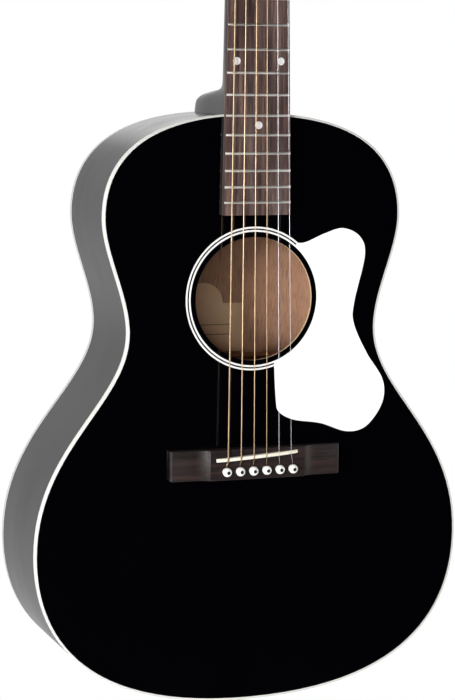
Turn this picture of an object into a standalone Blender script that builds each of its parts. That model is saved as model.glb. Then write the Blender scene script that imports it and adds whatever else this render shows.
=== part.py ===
"""Small-bodied flat-top acoustic guitar, upright, with its headstock at the top.

Metres. +Z runs up the neck, the soundboard faces -Y and the treble side is at +X.
The world's origin is the centre of the end pin's outer face. Everything hangs from
the empty body_datum, whose origin lies on the soundboard's face at its tail edge.
In datum coordinates y is the depth behind the soundboard's face.
"""
import math

import bmesh
import bpy
from mathutils import Matrix, Vector

GAP = 0.0003                      # clearance between pieces that rest on each other

# Plan of the soundboard: four curves run up one side from the tail to the neck.
LOWER_HALF, LOWER_Z = 0.1843, 0.1304
WAIST_HALF, WAIST_Z = 0.1067, 0.3101
UPPER_HALF, UPPER_Z = 0.1273, 0.4034
BODY_Z = 0.4860
TAIL_PULL, LOWER_PULL_DOWN, LOWER_PULL_UP = 0.1545, 0.0565, 0.0896
WAIST_PULL_DOWN, WAIST_PULL_UP = 0.0567, 0.0310
UPPER_PULL_DOWN, UPPER_PULL_UP, NECK_PULL = 0.0285, 0.0442, 0.0980
CURVE_STEPS = 8                   # straight steps along each of the four curves

# Body box
TOP_THICK = 0.0028
BACK_THICK = 0.0026
BACK_ARCH_RADIUS = 4.57
SIDE_THICK = 0.0020
TAIL_DEPTH = 0.1154
DEPTH_TAPER = 0.0400
BINDING_WIDE, BINDING_DEEP = 0.00166, 0.00505
LINING_WIDE, LINING_DEEP = 0.0060, 0.0140
LINING_FROM_BLOCK = 0.0018        # room between a block's side and the lining's square end
NECK_BLOCK_HALF, NECK_BLOCK_LONG = 0.0380, 0.0460
TAIL_BLOCK_HALF, TAIL_BLOCK_THICK = 0.0440, 0.0190

# Soundhole, rosette and pickguard
HOLE_Z, HOLE_RADIUS, HOLE_SIDES = 0.3360, 0.0508, 42
ROSETTE_IN, ROSETTE_OUT = 0.0548, 0.0592
GROOVE_DEEP, ROSETTE_THICK = 0.0010, 0.0007
GUARD_THICK = 0.0009
GUARD_ARC_RADIUS = 0.0552
GUARD_ARC_TOP, GUARD_ARC_END = math.radians(50.0), math.radians(-70.5)

# Braces
X_CROSSING_Z, X_HALF_ANGLE = 0.2580, math.radians(49.0)
X_WIDE, X_HIGH = 0.0065, 0.0130
TONE_WIDE, TONE_HIGH = 0.0055, 0.0095
FACE_BRACE_Z, FACE_BRACE_WIDE, FACE_BRACE_HIGH = 0.4180, 0.0090, 0.0120
PLATE_HALF, PLATE_LOW, PLATE_TOP, PLATE_THICK = 0.0520, 0.1830, 0.2160, 0.0025
BRACE_END_ROOM = 0.0060           # from a brace's end to the linings, along the brace
BACK_BRACES = ((0.400, 0.0075, 0.0150), (0.2743, 0.0075, 0.0150),
               (0.180, 0.0150, 0.0095), (0.085, 0.0150, 0.0095))

# Bridge, saddle and pins
BRIDGE_X, BRIDGE_HALF = 0.0010, 0.0743
BRIDGE_LOW, BRIDGE_TOP = 0.1876, 0.2131
BRIDGE_THICK, WING_THICK, BRIDGE_FLAT_HALF, SCOOP_LONG = 0.0105, 0.0060, 0.0415, 0.0130
SADDLE_X, SADDLE_Z, SADDLE_SLANT = 0.0004, 0.2067, math.radians(3.75)
SADDLE_HALF, SADDLE_THICK, SADDLE_TOP, SADDLE_SEAT = 0.0357, 0.0029, 0.0143, 0.0052
PIN_X, PIN_HALF_SPAN, PIN_Z = 0.0020, 0.0290, 0.1950
PIN_BALL, PIN_BALL_Y = 0.0038, -0.0140
PIN_NECK, PIN_TIP, PIN_END_Y = 0.0023, 0.0019, 0.0125
STRING_AHEAD = 0.0034             # each string drops into the bridge this far above its pin

# Neck, fretboard and nut
SCALE = 0.62865
FRET_14_Z = 0.48576
NECK_SLOPE = 0.0079               # the neck leans back by this much per unit length
BOARD_Y, BOARD_ARCH_RADIUS = -0.0066, 0.305
BOARD_END_Z, BOARD_HALF_14 = 0.4050, 0.0277
FRET_COUNT, FRET_WIDE, FRET_HIGH = 19, 0.0022, 0.0010
NUT_HALF, NUT_LONG, NUT_TOP_ABOVE_BOARD = 0.02222, 0.0060, 0.0018
JOINT_Z = BODY_Z + BINDING_WIDE + GAP
NECK_POINTS = 15                  # points round the back of each neck section
# Stations up the neck: height, depth of wood, half-width at the back, roundness
HEEL = ((0.4855, 0.0923, 0.0259, 0.20), (0.4950, 0.0923, 0.0249, 0.22), (0.4990, 0.0918, 0.0229, 0.26),
        (0.5020, 0.0895, 0.0190, 0.32), (0.5040, 0.0840, 0.0140, 0.40),
        (0.5053, 0.0740, 0.0115, 0.45), (0.5065, 0.0610, 0.0105, 0.50),
        (0.5083, 0.0480, 0.0125, 0.55), (0.5115, 0.0365, 0.0165, 0.60),
        (0.5180, 0.0290, 0.0205, 0.65), (0.5270, 0.0240, 0.0240, 0.70))
SHAFT = ((0.5450, 0.0190), (0.6200, 0.0175), (0.7200, 0.0172), (0.8344, 0.0165))
SHAFT_ROUND = 0.74
HEEL_DEEP, CAP_HALF, CAP_THICK, CAP_LONG = 0.0923, 0.0165, 0.0026, 0.0102
TENON_HALF, TENON_FLARE, TENON_LONG, TENON_DEEP = 0.0115, 0.0155, 0.0200, 0.0720

# Headstock, in its own frame: s runs up its face from the nut
HEAD_TILT = math.radians(15.0)
HEAD_THICK = 0.0150
# Outline of the headstock: distance from the nut, half-width
HEAD_OUTLINE = ((0.0080, 0.0238), (0.0160, 0.0285), (0.0240, 0.0318), (0.0340, 0.0332),
                (0.1450, 0.0362), (0.1600, 0.0352), (0.1690, 0.0312), (0.1745, 0.0235),
                (0.1775, 0.0120))
POST_S = (0.0380, 0.0760, 0.1140)
POST_X, POST_RADIUS, POST_HOLE, POST_TALL = 0.0215, 0.0030, 0.0036, 0.0150
STRING_ON_POST = 0.0070           # height of the string above the headstock's face

# Truss rod
ROD_RADIUS, ROD_DEPTH, ROD_LOW_Z, ROD_TOP_Z = 0.0025, 0.0065, 0.5060, 0.8500
ROD_NUT_Z, ROD_NUT_LONG, ROD_NUT_RADIUS = 0.8440, 0.0075, 0.0041

# Tuning machines: 14-tooth gear on the post, one-start worm on the knob's shaft
PLATE_X_HALF, PLATE_S_LOW, PLATE_S_TOP, MACHINE_THICK = 0.0068, 0.0170, 0.1270, 0.0012
TEETH, GEAR_MODULE, GEAR_THICK = 14, 0.00075, 0.0030
GEAR_PITCH, WORM_PITCH = TEETH * GEAR_MODULE / 2, 0.0026
TOOTH_OUT, TOOTH_IN = 0.0006, 0.0008
TOOTH_MID_HALF, TOOTH_TIP_HALF = 0.00045, 0.00025
CENTRES = 0.00785
WORM_LEAD = math.pi * GEAR_MODULE
WORM_TURNS, WORM_STEPS = 2.5, 8
SHAFT_RADIUS, EAR_HOLE, EAR_AT, EAR_THICK, EAR_HALF = 0.0015, 0.0018, 0.0050, 0.0012, 0.0030
BACK_FACE = -HEAD_THICK - GAP     # the machine plate's seat, measured from the head's face
GEAR_AT = BACK_FACE - MACHINE_THICK - GAP - WORM_PITCH - TOOTH_OUT
# Knob: distance out along its shaft from the post's axis, half-height, half-thickness
KNOB_SHAPE = ((0.0190, 0.0015, 0.0015), (0.0195, 0.0024, 0.0024), (0.0212, 0.0030, 0.0024),
              (0.0226, 0.0060, 0.0030), (0.0262, 0.0080, 0.0036), (0.0310, 0.0078, 0.0036),
              (0.0342, 0.0055, 0.0028), (0.0352, 0.0030, 0.0016))

# End pin
END_PIN_Y = 0.0565
END_PIN_FACE = -0.0130
END_PIN_RADIUS, END_PIN_HOLE = 0.0040, 0.0044

STRING_RADII = (0.00015, 0.00020, 0.00031, 0.00041, 0.00053, 0.00067)
NUT_SPAN, SADDLE_SPAN = 0.0385, 0.0556
STRING_SIDES = 6

COLOURS = {                       # colour, roughness, metallic
    "black_top": ((0.004, 0.004, 0.005), 0.12, 0.0),
    "black_lacquer": ((0.012, 0.012, 0.013), 0.40, 0.0),
    "white_plastic": ((0.85, 0.85, 0.84), 0.30, 0.0),
    "spruce": ((0.62, 0.42, 0.24), 0.60, 0.0),
    "mahogany": ((0.32, 0.14, 0.08), 0.60, 0.0),
    "rosewood": ((0.065, 0.040, 0.034), 0.50, 0.0),
    "bone": ((0.80, 0.74, 0.62), 0.35, 0.0),
    "steel": ((0.60, 0.60, 0.62), 0.25, 1.0),
    "bronze": ((0.60, 0.36, 0.16), 0.35, 1.0),
    "brass": ((0.65, 0.48, 0.20), 0.35, 1.0),
    "nickel": ((0.62, 0.60, 0.56), 0.30, 1.0),
}


# ---------------------------------------------------------------- tools

def material(slot):
    """Return the named material, made on first use."""
    found = bpy.data.materials.get(slot)
    if found:
        return found
    colour, roughness, metallic = COLOURS[slot]
    made = bpy.data.materials.new(slot)
    made.use_nodes = True
    shader = made.node_tree.nodes["Principled BSDF"]
    shader.inputs["Base Color"].default_value = (*colour, 1.0)
    shader.inputs["Roughness"].default_value = roughness
    shader.inputs["Metallic"].default_value = metallic
    return made


def add(name, bm, slot, placing=None):
    """Turn a bmesh into a named object under the datum."""
    bmesh.ops.recalc_face_normals(bm, faces=bm.faces)
    mesh = bpy.data.meshes.new(name)
    bm.to_mesh(mesh)
    bm.free()
    return add_mesh(name, mesh, slot, placing)


def add_mesh(name, mesh, slot, placing=None):
    """Make a named object from a mesh that other objects may share."""
    made = bpy.data.objects.new(name, mesh)
    bpy.context.scene.collection.objects.link(made)
    made.parent = bpy.data.objects["body_datum"]
    if placing is not None:
        made.matrix_basis = placing
    if slot and not mesh.materials:
        mesh.materials.append(material(slot))
        mesh.shade_smooth()
        mesh.set_sharp_from_angle(angle=math.radians(35))
    return made


def combine(target, bm, operation, placing=None):
    """Join or cut a target with a helper shape through an exact Boolean."""
    helper = add(f"{target.name}_{operation.lower()}", bm, None, placing)
    helper.hide_render = True
    helper.display_type = "WIRE"
    modifier = target.modifiers.new(operation.title(), "BOOLEAN")
    modifier.operation = operation
    modifier.solver = "EXACT"
    modifier.object = helper


def loft(rings, bm=None, closed=False):
    """Skin rings of points into a closed solid; a closed loft joins its last ring to its first."""
    bm = bm or bmesh.new()
    rows = [[bm.verts.new(point) for point in ring] for ring in rings]
    pairs = list(zip(rows, rows[1:]))
    if closed:
        pairs.append((rows[-1], rows[0]))
    for low, high in pairs:
        count = len(low)
        for i in range(count):
            j = (i + 1) % count
            bm.faces.new((low[i], low[j], high[j], high[i]))
    if not closed:
        bm.faces.new(rows[0])
        bm.faces.new(rows[-1])
    return bm


def slab(outline, front, back, bm=None):
    """Solid between two depths over an outline of (x, z); a depth may be a function of x, z."""
    def at(depth, x, z):
        return depth(x, z) if callable(depth) else depth
    rings = [[(x, at(depth, x, z), z) for x, z in outline] for depth in (front, back)]
    return loft(rings, bm)


def extrude(outline, low, high, bm=None):
    """Solid over an outline of (x, y), from one height to another."""
    return loft([[(x, y, z) for x, y in outline] for z in (low, high)], bm)


def circle(radius, sides, centre=(0.0, 0.0)):
    """Points of a circle in a plane."""
    turns = [2 * math.pi * i / sides for i in range(sides)]
    return [(centre[0] + radius * math.cos(a), centre[1] + radius * math.sin(a)) for a in turns]


def turned(profile, sides, bm=None):
    """Solid of revolution about z through (radius, z) pairs, with flat ends."""
    return loft([[(x, y, z) for x, y in circle(radius, sides)] for radius, z in profile], bm)


def box(low, high, bm=None):
    """Rectangular solid between two corners."""
    outline = [(low[0], low[1]), (high[0], low[1]), (high[0], high[1]), (low[0], high[1])]
    return extrude(outline, low[2], high[2], bm)


def tube(points, radii, sides):
    """Round solid along a path, with one radius for each point."""
    points = [Vector(p) for p in points]
    rings = []
    side = Vector((1.0, 0.0, 0.0))
    for i, point in enumerate(points):
        before = points[max(i - 1, 0)]
        after = points[min(i + 1, len(points) - 1)]
        along = (after - before).normalized()
        side = (side - along * side.dot(along)).normalized()
        up = along.cross(side)
        rings.append([point + side * x + up * y for x, y in circle(radii[i], sides)])
    return loft(rings)


def smooth_curve(points, steps, closed):
    """Catmull-Rom curve through points, with a few steps to each span."""
    count = len(points)
    spans = count if closed else count - 1
    curve = []
    for i in range(spans):
        if closed:
            picks = [points[(i + k) % count] for k in (-1, 0, 1, 2)]
        else:
            picks = [points[min(max(i + k, 0), count - 1)] for k in (-1, 0, 1, 2)]
        a, b, c, d = (Vector(p) for p in picks)
        for step in range(steps):
            t = step / steps
            curve.append(tuple(0.5 * (2 * b + (c - a) * t + (2 * a - 5 * b + 4 * c - d) * t ** 2
                                      + (3 * b - 3 * c + d - a) * t ** 3)))
    if not closed:
        curve.append(tuple(points[-1]))
    return curve


# ---------------------------------------------------------------- body outline

HALF_OUTLINE = (
    ((0, 0), (TAIL_PULL, 0), (LOWER_HALF, LOWER_Z - LOWER_PULL_DOWN), (LOWER_HALF, LOWER_Z)),
    ((LOWER_HALF, LOWER_Z), (LOWER_HALF, LOWER_Z + LOWER_PULL_UP),
     (WAIST_HALF, WAIST_Z - WAIST_PULL_DOWN), (WAIST_HALF, WAIST_Z)),
    ((WAIST_HALF, WAIST_Z), (WAIST_HALF, WAIST_Z + WAIST_PULL_UP),
     (UPPER_HALF, UPPER_Z - UPPER_PULL_DOWN), (UPPER_HALF, UPPER_Z)),
    ((UPPER_HALF, UPPER_Z), (UPPER_HALF, UPPER_Z + UPPER_PULL_UP), (NECK_PULL, BODY_Z), (0, BODY_Z)),
)


def rim(t, offset=0.0):
    """Point (x, z) of the treble half-outline at t, 0 at the tail to 4 at the neck, moved outwards."""
    index = min(int(t), 3)
    a, b, c, d = (Vector(p) for p in HALF_OUTLINE[index])
    u = t - index
    v = 1 - u
    point = a * v ** 3 + b * 3 * u * v ** 2 + c * 3 * v * u ** 2 + d * u ** 3
    along = (b - a) * v ** 2 + (c - b) * 2 * u * v + (d - c) * u ** 2
    along.normalize()
    return point.x + along.y * offset, point.y - along.x * offset


def rim_t(x, low, high):
    """Where between two values of t the outline has the given half-width."""
    rising = rim(high)[0] > rim(low)[0]
    for _ in range(40):
        middle = (low + high) / 2
        if (rim(middle)[0] < x) == rising:
            low = middle
        else:
            high = middle
    return middle


def half_rim(offset, start=0.0, end=4.0):
    """Points along the treble half, on the same stations wherever the stretch begins and ends."""
    stations = [k / CURVE_STEPS for k in range(4 * CURVE_STEPS + 1)]
    margin = 0.2 / CURVE_STEPS
    middle = [rim(t, offset) for t in stations if start + margin < t < end - margin]
    return [on_step(start, offset)] + middle + [on_step(end, offset)]


def on_step(t, offset):
    """Point on the straight step between two stations."""
    below = min(int(t * CURVE_STEPS + 1e-9), 4 * CURVE_STEPS - 1)
    low = Vector(rim(below / CURVE_STEPS, offset))
    high = Vector(rim((below + 1) / CURVE_STEPS, offset))
    return tuple(low.lerp(high, t * CURVE_STEPS - below))


def full_rim(offset):
    """The whole outline, up the treble side and down the bass side."""
    treble = half_rim(offset)
    return treble + [(-x, z) for x, z in treble[-2:0:-1]]


def width_at(z, offset=0.0):
    """Half-width of the offset outline at a height, read off its straight steps."""
    points = half_rim(offset)
    for (x0, z0), (x1, z1) in zip(points, points[1:]):
        if z0 <= z <= z1:
            return x0 + (x1 - x0) * (z - z0) / max(z1 - z0, 1e-9)
    return 0.0


def side_depth(z):
    """Depth of the body at its rim."""
    return TAIL_DEPTH - DEPTH_TAPER * z


def back_inner(x, z):
    """Depth of the back plate's inner face."""
    bulge = max(width_at(z) ** 2 - x ** 2, 0.0) / (2 * BACK_ARCH_RADIUS)
    return side_depth(z) + bulge - BACK_THICK


# ---------------------------------------------------------------- body box

def make_soundboard():
    board = add("soundboard", slab(full_rim(0.0), 0.0, TOP_THICK), "black_top")
    cutter = slab(circle(HOLE_RADIUS, HOLE_SIDES, (0, HOLE_Z)), -TOP_THICK, 2 * TOP_THICK)
    pin_slots(cutter, -TOP_THICK, 2 * TOP_THICK)
    combine(board, cutter, "DIFFERENCE")
    groove = ring(ROSETTE_IN - GAP, ROSETTE_OUT + GAP, -TOP_THICK, GROOVE_DEEP)
    combine(board, groove, "DIFFERENCE")


def ring(inside, outside, front, back):
    """Flat ring round the soundhole."""
    sections = []
    for step in range(HOLE_SIDES):
        angle = 2 * math.pi * step / HOLE_SIDES
        corners = ((inside, front), (outside, front), (outside, back), (inside, back))
        sections.append([(r * math.cos(angle), y, HOLE_Z + r * math.sin(angle)) for r, y in corners])
    return loft(sections, closed=True)


def make_rosette():
    front = GROOVE_DEEP - GAP - ROSETTE_THICK
    add("rosette", ring(ROSETTE_IN, ROSETTE_OUT, front, front + ROSETTE_THICK), "white_plastic")


def make_back_plate():
    """Arched plate, lofted row by row from the tail to the neck."""
    columns = [1.0, 0.62, 0.21, -0.21, -0.62, -1.0]
    rows = []
    for half, z in half_rim(-GAP)[1:-1]:
        line = [(half * c, z) for c in columns]
        inner = [(x, back_inner(x, z), z) for x, z in line]
        outer = [(x, back_inner(x, z) + BACK_THICK, z) for x, z in reversed(line)]
        rows.append(inner + outer)
    add("back_plate", loft(rows), "black_lacquer")


def rim_strip(name, slot, offsets, depths, start=0.0, end=4.0, halves=1):
    """Strip of rectangular section that follows the rim; depths are functions of z."""
    outer, inner = offsets
    points = list(zip(half_rim(outer, start, end), half_rim(inner, start, end)))
    if halves == 2:
        points += [((-ox, oz), (-ix, iz)) for (ox, oz), (ix, iz) in points[-2:0:-1]]
    if halves == -1:
        points = [((-ox, oz), (-ix, iz)) for (ox, oz), (ix, iz) in points]
    rings = []
    for (ox, oz), (ix, iz) in points:
        rings.append([(ox, depths[0](oz), oz), (ox, depths[1](oz), oz),
                      (ix, depths[1](iz), iz), (ix, depths[0](iz), iz)])
    return add(name, loft(rings, closed=halves == 2), slot)


def make_sides():
    start = rim_t(GAP / 2, 0, 1)
    end = rim_t(TENON_FLARE + 4 * GAP, 3, 4)
    front = BINDING_DEEP + GAP
    for name, half in (("treble_side", 1), ("bass_side", -1)):
        side = rim_strip(name, "black_lacquer", (BINDING_WIDE, BINDING_WIDE - SIDE_THICK),
                         (lambda z: front, lambda z: side_depth(z) - front), start, end, half)
        combine(side, end_pin_bore(), "DIFFERENCE")


def make_bindings():
    rim_strip("top_binding", "white_plastic", (BINDING_WIDE, GAP),
              (lambda z: 0.0, lambda z: BINDING_DEEP), halves=2)
    rim_strip("back_binding", "white_plastic", (BINDING_WIDE, GAP),
              (lambda z: side_depth(z) - BINDING_DEEP, side_depth), halves=2)


def make_linings():
    """Strips of triangular-looking section that widen the glue joint inside each edge."""
    outer = BINDING_WIDE - SIDE_THICK - GAP
    start = rim_t(TAIL_BLOCK_HALF + LINING_FROM_BLOCK, 0, 1)
    end = rim_t(NECK_BLOCK_HALF + LINING_FROM_BLOCK, 3, 4)
    top = TOP_THICK + GAP
    bottom = BACK_THICK + GAP
    for name, half in (("treble", 1), ("bass", -1)):
        rim_strip(f"top_lining_{name}", "mahogany", (outer, outer - LINING_WIDE),
                  (lambda z: top, lambda z: top + LINING_DEEP), start, end, half)
        rim_strip(f"back_lining_{name}", "mahogany", (outer, outer - LINING_WIDE),
                  (lambda z: side_depth(z) - bottom - LINING_DEEP,
                   lambda z: side_depth(z) - bottom), start, end, half)


def block_outline(half_width, low, high, straight_z):
    """Block whose outer face follows the inside of the rim and whose inner face is straight."""
    offset = BINDING_WIDE - SIDE_THICK - GAP
    edge = rim_t(half_width, low, high)
    if low == 0:
        curved = half_rim(offset, 0.0, edge)
    else:
        curved = half_rim(offset, edge, 4.0)[::-1]
    straight = [(curved[-1][0], straight_z), (-curved[-1][0], straight_z)]
    mirrored = [(-x, z) for x, z in curved[:0:-1]]
    return mirrored + curved + straight


def make_blocks():
    front = TOP_THICK + GAP

    def back(x, z):
        return side_depth(z) - BACK_THICK - GAP

    outline = block_outline(TAIL_BLOCK_HALF, 0, 1, TAIL_BLOCK_THICK)
    tail = add("tail_block", slab(outline, front, back), "mahogany")
    combine(tail, end_pin_bore(), "DIFFERENCE")
    outline = block_outline(NECK_BLOCK_HALF, 3, 4, BODY_Z - NECK_BLOCK_LONG)
    neck = add("neck_block", slab(outline, front, back), "mahogany")
    mortise = slab(tenon_outline(GAP, JOINT_Z + 0.01), TOP_THICK - 0.001, TENON_DEEP + 2 * GAP)
    combine(neck, mortise, "DIFFERENCE")


def end_pin_bore():
    """Cutter for the end pin's hole, along z."""
    outline = circle(END_PIN_HOLE, 16, (0, END_PIN_Y))
    return extrude(outline, -0.01, TAIL_BLOCK_THICK + 0.01)


def make_end_pin():
    collar = -BINDING_WIDE - GAP
    profile = ((0.0040, END_PIN_FACE), (0.0062, END_PIN_FACE + 0.0010),
               (0.0071, END_PIN_FACE + 0.0032), (0.0060, END_PIN_FACE + 0.0056),
               (0.0043, END_PIN_FACE + 0.0072), (0.0050, collar - 0.0022), (0.0068, collar - 0.0012),
               (0.0068, collar), (END_PIN_RADIUS, collar),
               (END_PIN_RADIUS - 0.0004, TAIL_BLOCK_THICK - 0.001))
    add("end_pin", turned(profile, 16), "white_plastic", Matrix.Translation((0, END_PIN_Y, 0)))


# ---------------------------------------------------------------- braces

def reach(x, z, angle, offset):
    """Distance from an inside point to the offset rim, along an angle from +x towards +z."""
    points = full_rim(offset)
    direction = Vector((math.cos(angle), math.sin(angle)))
    normal = Vector((-direction.y, direction.x))
    nearest = 1.0
    for p, q in zip(points, points[1:] + points[:1]):
        a, b = Vector((p[0] - x, p[1] - z)), Vector((q[0] - x, q[1] - z))
        side_a, side_b = a.dot(normal), b.dot(normal)
        if side_a * side_b < 0:
            cross = a.lerp(b, side_a / (side_a - side_b)).dot(direction)
            if cross > 0:
                nearest = min(nearest, cross)
    return nearest


def brace(name, profile, wide, x, z, angle):
    """Bar cut to a (distance, depth) profile, laid across the plates at an angle."""
    rings = [[(s, y, w) for s, y in profile] for w in (-wide / 2, wide / 2)]
    placing = Matrix.Translation((x, 0, z)) @ Matrix.Rotation(-angle, 4, "Y")
    add(name, loft(rings), "spruce", placing)


def bar_profile(before, after, high, thin, ramp):
    """Profile of a bar under the top: full height in the middle, ramped down at both ends."""
    front = TOP_THICK + GAP
    return [(-before, front), (after, front), (after, front + thin), (after - ramp, front + high),
            (ramp - before, front + high), (-before, front + thin)]


def make_top_braces():
    clear = BINDING_WIDE - SIDE_THICK - LINING_WIDE - 2 * GAP
    notch = X_WIDE * 0.5 / math.sin(2 * X_HALF_ANGLE) + 0.0012
    front = TOP_THICK + GAP
    for name, side in (("bass", -1), ("treble", 1)):
        angle = math.pi / 2 - side * X_HALF_ANGLE
        after = reach(0, X_CROSSING_Z, angle, clear) - BRACE_END_ROOM
        before = reach(0, X_CROSSING_Z, angle + math.pi, clear) - BRACE_END_ROOM
        profile = bar_profile(before, after, X_HIGH, 0.003, 0.045)
        middle = front + X_HIGH / 2
        if side < 0:
            cut = [(notch, front + X_HIGH), (notch, middle - GAP), (-notch, middle - GAP),
                   (-notch, front + X_HIGH)]
            profile = profile[:4] + cut + profile[4:]
        else:
            cut = [(-notch, front), (-notch, middle + GAP), (notch, middle + GAP), (notch, front)]
            profile = profile[:1] + cut + profile[1:]
        brace(f"x_brace_{name}", profile, X_WIDE, 0, X_CROSSING_Z, angle)
    lean = math.radians(24)
    for number, (x, z, left, right) in enumerate(((-0.010, 0.150, 0.070, 0.085),
                                                  (-0.010, 0.090, 0.080, 0.120)), 1):
        brace(f"tone_bar_{number}", bar_profile(left, right, TONE_HIGH, 0.003, 0.030),
              TONE_WIDE, x, z, -lean)
    half = width_at(FACE_BRACE_Z, clear) - 0.004
    brace("upper_face_brace", bar_profile(half, half, FACE_BRACE_HIGH, 0.003, 0.030),
          FACE_BRACE_WIDE, 0, FACE_BRACE_Z, 0.0)


def make_bridge_plate():
    outline = [(BRIDGE_X - PLATE_HALF - 0.012, PLATE_LOW), (BRIDGE_X + PLATE_HALF + 0.012, PLATE_LOW),
               (BRIDGE_X + PLATE_HALF - 0.016, PLATE_TOP), (BRIDGE_X - PLATE_HALF + 0.016, PLATE_TOP)]
    front = TOP_THICK + GAP
    plate = add("bridge_plate", slab(outline, front, front + PLATE_THICK), "spruce")
    cutter = bmesh.new()
    pin_slots(cutter, 0.0, front + PLATE_THICK + 0.002)
    combine(plate, cutter, "DIFFERENCE")


def make_back_braces():
    clear = BINDING_WIDE - SIDE_THICK - LINING_WIDE - 2 * GAP
    for number, (z, wide, high) in enumerate(BACK_BRACES, 1):
        narrow = min(width_at(z + w, clear) for w in (-wide / 2, wide / 2))
        half = narrow - 0.001
        stations = [half * k / 4 for k in range(-4, 5)]
        rings = []
        for x in stations:
            ends = min((half - abs(x)) / 0.035, 1.0)
            tall = 0.003 + (high - 0.003) * math.sin(ends * math.pi / 2)
            seat = [(back_inner(x, z + w) - GAP, z + w) for w in (wide / 2, -wide / 2)]
            ring_points = [(x, y, w) for y, w in seat]
            ring_points += [(x, seat[1][0] - tall, z - wide / 3), (x, seat[0][0] - tall, z + wide / 3)]
            rings.append(ring_points)
        add(f"back_brace_{number}", loft(rings), "mahogany")


# ---------------------------------------------------------------- pickguard

GUARD_EDGE = ((0.045, 0.382), (0.062, 0.389), (0.078, 0.393), (0.093, 0.386), (0.098, 0.370),
              (0.089, 0.331), (0.089, 0.313), (0.101, 0.288), (0.116, 0.265), (0.116, 0.245),
              (0.102, 0.226), (0.084, 0.222), (0.060, 0.230), (0.036, 0.234), (0.023, 0.241),
              (0.020, 0.251))


def make_pickguard():
    """Teardrop-like plate whose inner edge runs round the soundhole."""
    corner_top = (0.037, 0.3815)
    corner_low = (0.018, 0.283)
    edge = smooth_curve((corner_top,) + GUARD_EDGE + (corner_low,), 3, closed=False)
    steps = 12
    arc = []
    for k in range(steps + 1):
        angle = GUARD_ARC_END + (GUARD_ARC_TOP - GUARD_ARC_END) * k / steps
        arc.append((GUARD_ARC_RADIUS * math.cos(angle), HOLE_Z + GUARD_ARC_RADIUS * math.sin(angle)))
    add("pickguard", slab(edge + arc, -GAP - GUARD_THICK, -GAP), "white_plastic")


# ---------------------------------------------------------------- bridge

def string_x(number, centre, span):
    """Place of a string across the guitar; string 1 is the highest and lies at +x."""
    return centre + span * (3.5 - number) / 5


def pin_x(number):
    return string_x(number, PIN_X, 2 * PIN_HALF_SPAN)


def pin_slots(bm, front, back):
    """Six keyhole-shaped cutters: a pin's hole with the string's slot above it."""
    for number in range(1, 7):
        wide = [(x, z) for x, z in circle(PIN_NECK + 0.0005, 8, (pin_x(number), PIN_Z)) if z < PIN_Z + 1e-6]
        slim = circle(STRING_RADII[5] + 0.0005, 8, (pin_x(number), PIN_Z + STRING_AHEAD))
        top = [(x, z) for x, z in slim if z > PIN_Z + STRING_AHEAD - 1e-6]
        outline = sorted(top, key=lambda p: p[0]) + sorted(wide, key=lambda p: -p[0])
        slab(outline, front, back, bm)


def make_bridge():
    flat, end = BRIDGE_FLAT_HALF, BRIDGE_HALF
    scoop = []
    for k in range(7):
        u = k / 6
        fall = math.sin(u * math.pi / 2)
        thick = BRIDGE_THICK - (BRIDGE_THICK - WING_THICK) * fall
        curved = 0.6 * (1 - math.cos(u * math.pi / 2)) + 0.4 * u
        scoop.append((flat + SCOOP_LONG * curved, -thick))
    right = scoop + [(end - 0.0012, -WING_THICK), (end, -WING_THICK + 0.0012), (end, -GAP)]
    left = [(-x, y) for x, y in reversed(right)]
    outline = [(BRIDGE_X + x, y) for x, y in right + left]
    bridge = add("bridge", extrude(outline, BRIDGE_LOW, BRIDGE_TOP), "rosewood")
    bevel = bridge.modifiers.new("Edges", "BEVEL")
    bevel.width = 0.0007
    bevel.segments = 2
    bevel.limit_method = "ANGLE"
    bevel.angle_limit = math.radians(50)
    cutter = bmesh.new()
    pin_slots(cutter, -BRIDGE_THICK - 0.002, 0.001)
    combine(bridge, cutter, "DIFFERENCE")
    half, thick = SADDLE_HALF + GAP, SADDLE_THICK / 2 + GAP
    slot = box((-half, -BRIDGE_THICK - 0.002, -thick), (half, -SADDLE_SEAT, thick))
    combine(bridge, slot, "DIFFERENCE", saddle_place())


def saddle_place():
    return Matrix.Translation((SADDLE_X, 0, SADDLE_Z)) @ Matrix.Rotation(-SADDLE_SLANT, 4, "Y")


def saddle_top(x):
    """Depth of the saddle's crown, which follows the fretboard's arch."""
    return -SADDLE_TOP + x * x / (2 * BOARD_ARCH_RADIUS)


def make_saddle():
    half = SADDLE_HALF
    stations = [half * k / 5 for k in range(-5, 6)]
    rings = []
    for x in stations:
        crown = saddle_top(x) + (0.0012 if abs(x) > 0.99 * half else 0.0)
        edge = SADDLE_THICK / 2
        rings.append([(x, -SADDLE_SEAT - GAP, -edge), (x, crown + 0.0007, -edge),
                      (x, crown, -edge / 3), (x, crown, edge / 3), (x, crown + 0.0007, edge),
                      (x, -SADDLE_SEAT - GAP, edge)])
    add("saddle", loft(rings), "bone", saddle_place())


def make_bridge_pins():
    """Ball-headed pins; each turned about its own axis, which points out of the bridge."""
    seat = BRIDGE_THICK + GAP
    low = -PIN_BALL_Y - math.sqrt(PIN_BALL ** 2 - 0.0028 ** 2)
    profile = [(PIN_TIP - 0.0005, -PIN_END_Y), (PIN_TIP, -PIN_END_Y + 0.001), (PIN_NECK, seat),
               (0.0028, max(seat, low))]
    for angle in (-10, 25, 60):
        a = math.radians(angle)
        profile.append((PIN_BALL * math.cos(a), -PIN_BALL_Y + PIN_BALL * math.sin(a)))
    mesh = None
    for number in range(1, 7):
        placing = Matrix.Translation((pin_x(number), 0, PIN_Z)) @ Matrix.Rotation(math.pi / 2, 4, "X")
        name = f"bridge_pin_{number}"
        if mesh is None:
            mesh = add(name, turned(profile, 10), "white_plastic", placing).data
        else:
            add_mesh(name, mesh, "white_plastic", placing)


# ---------------------------------------------------------------- neck

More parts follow.
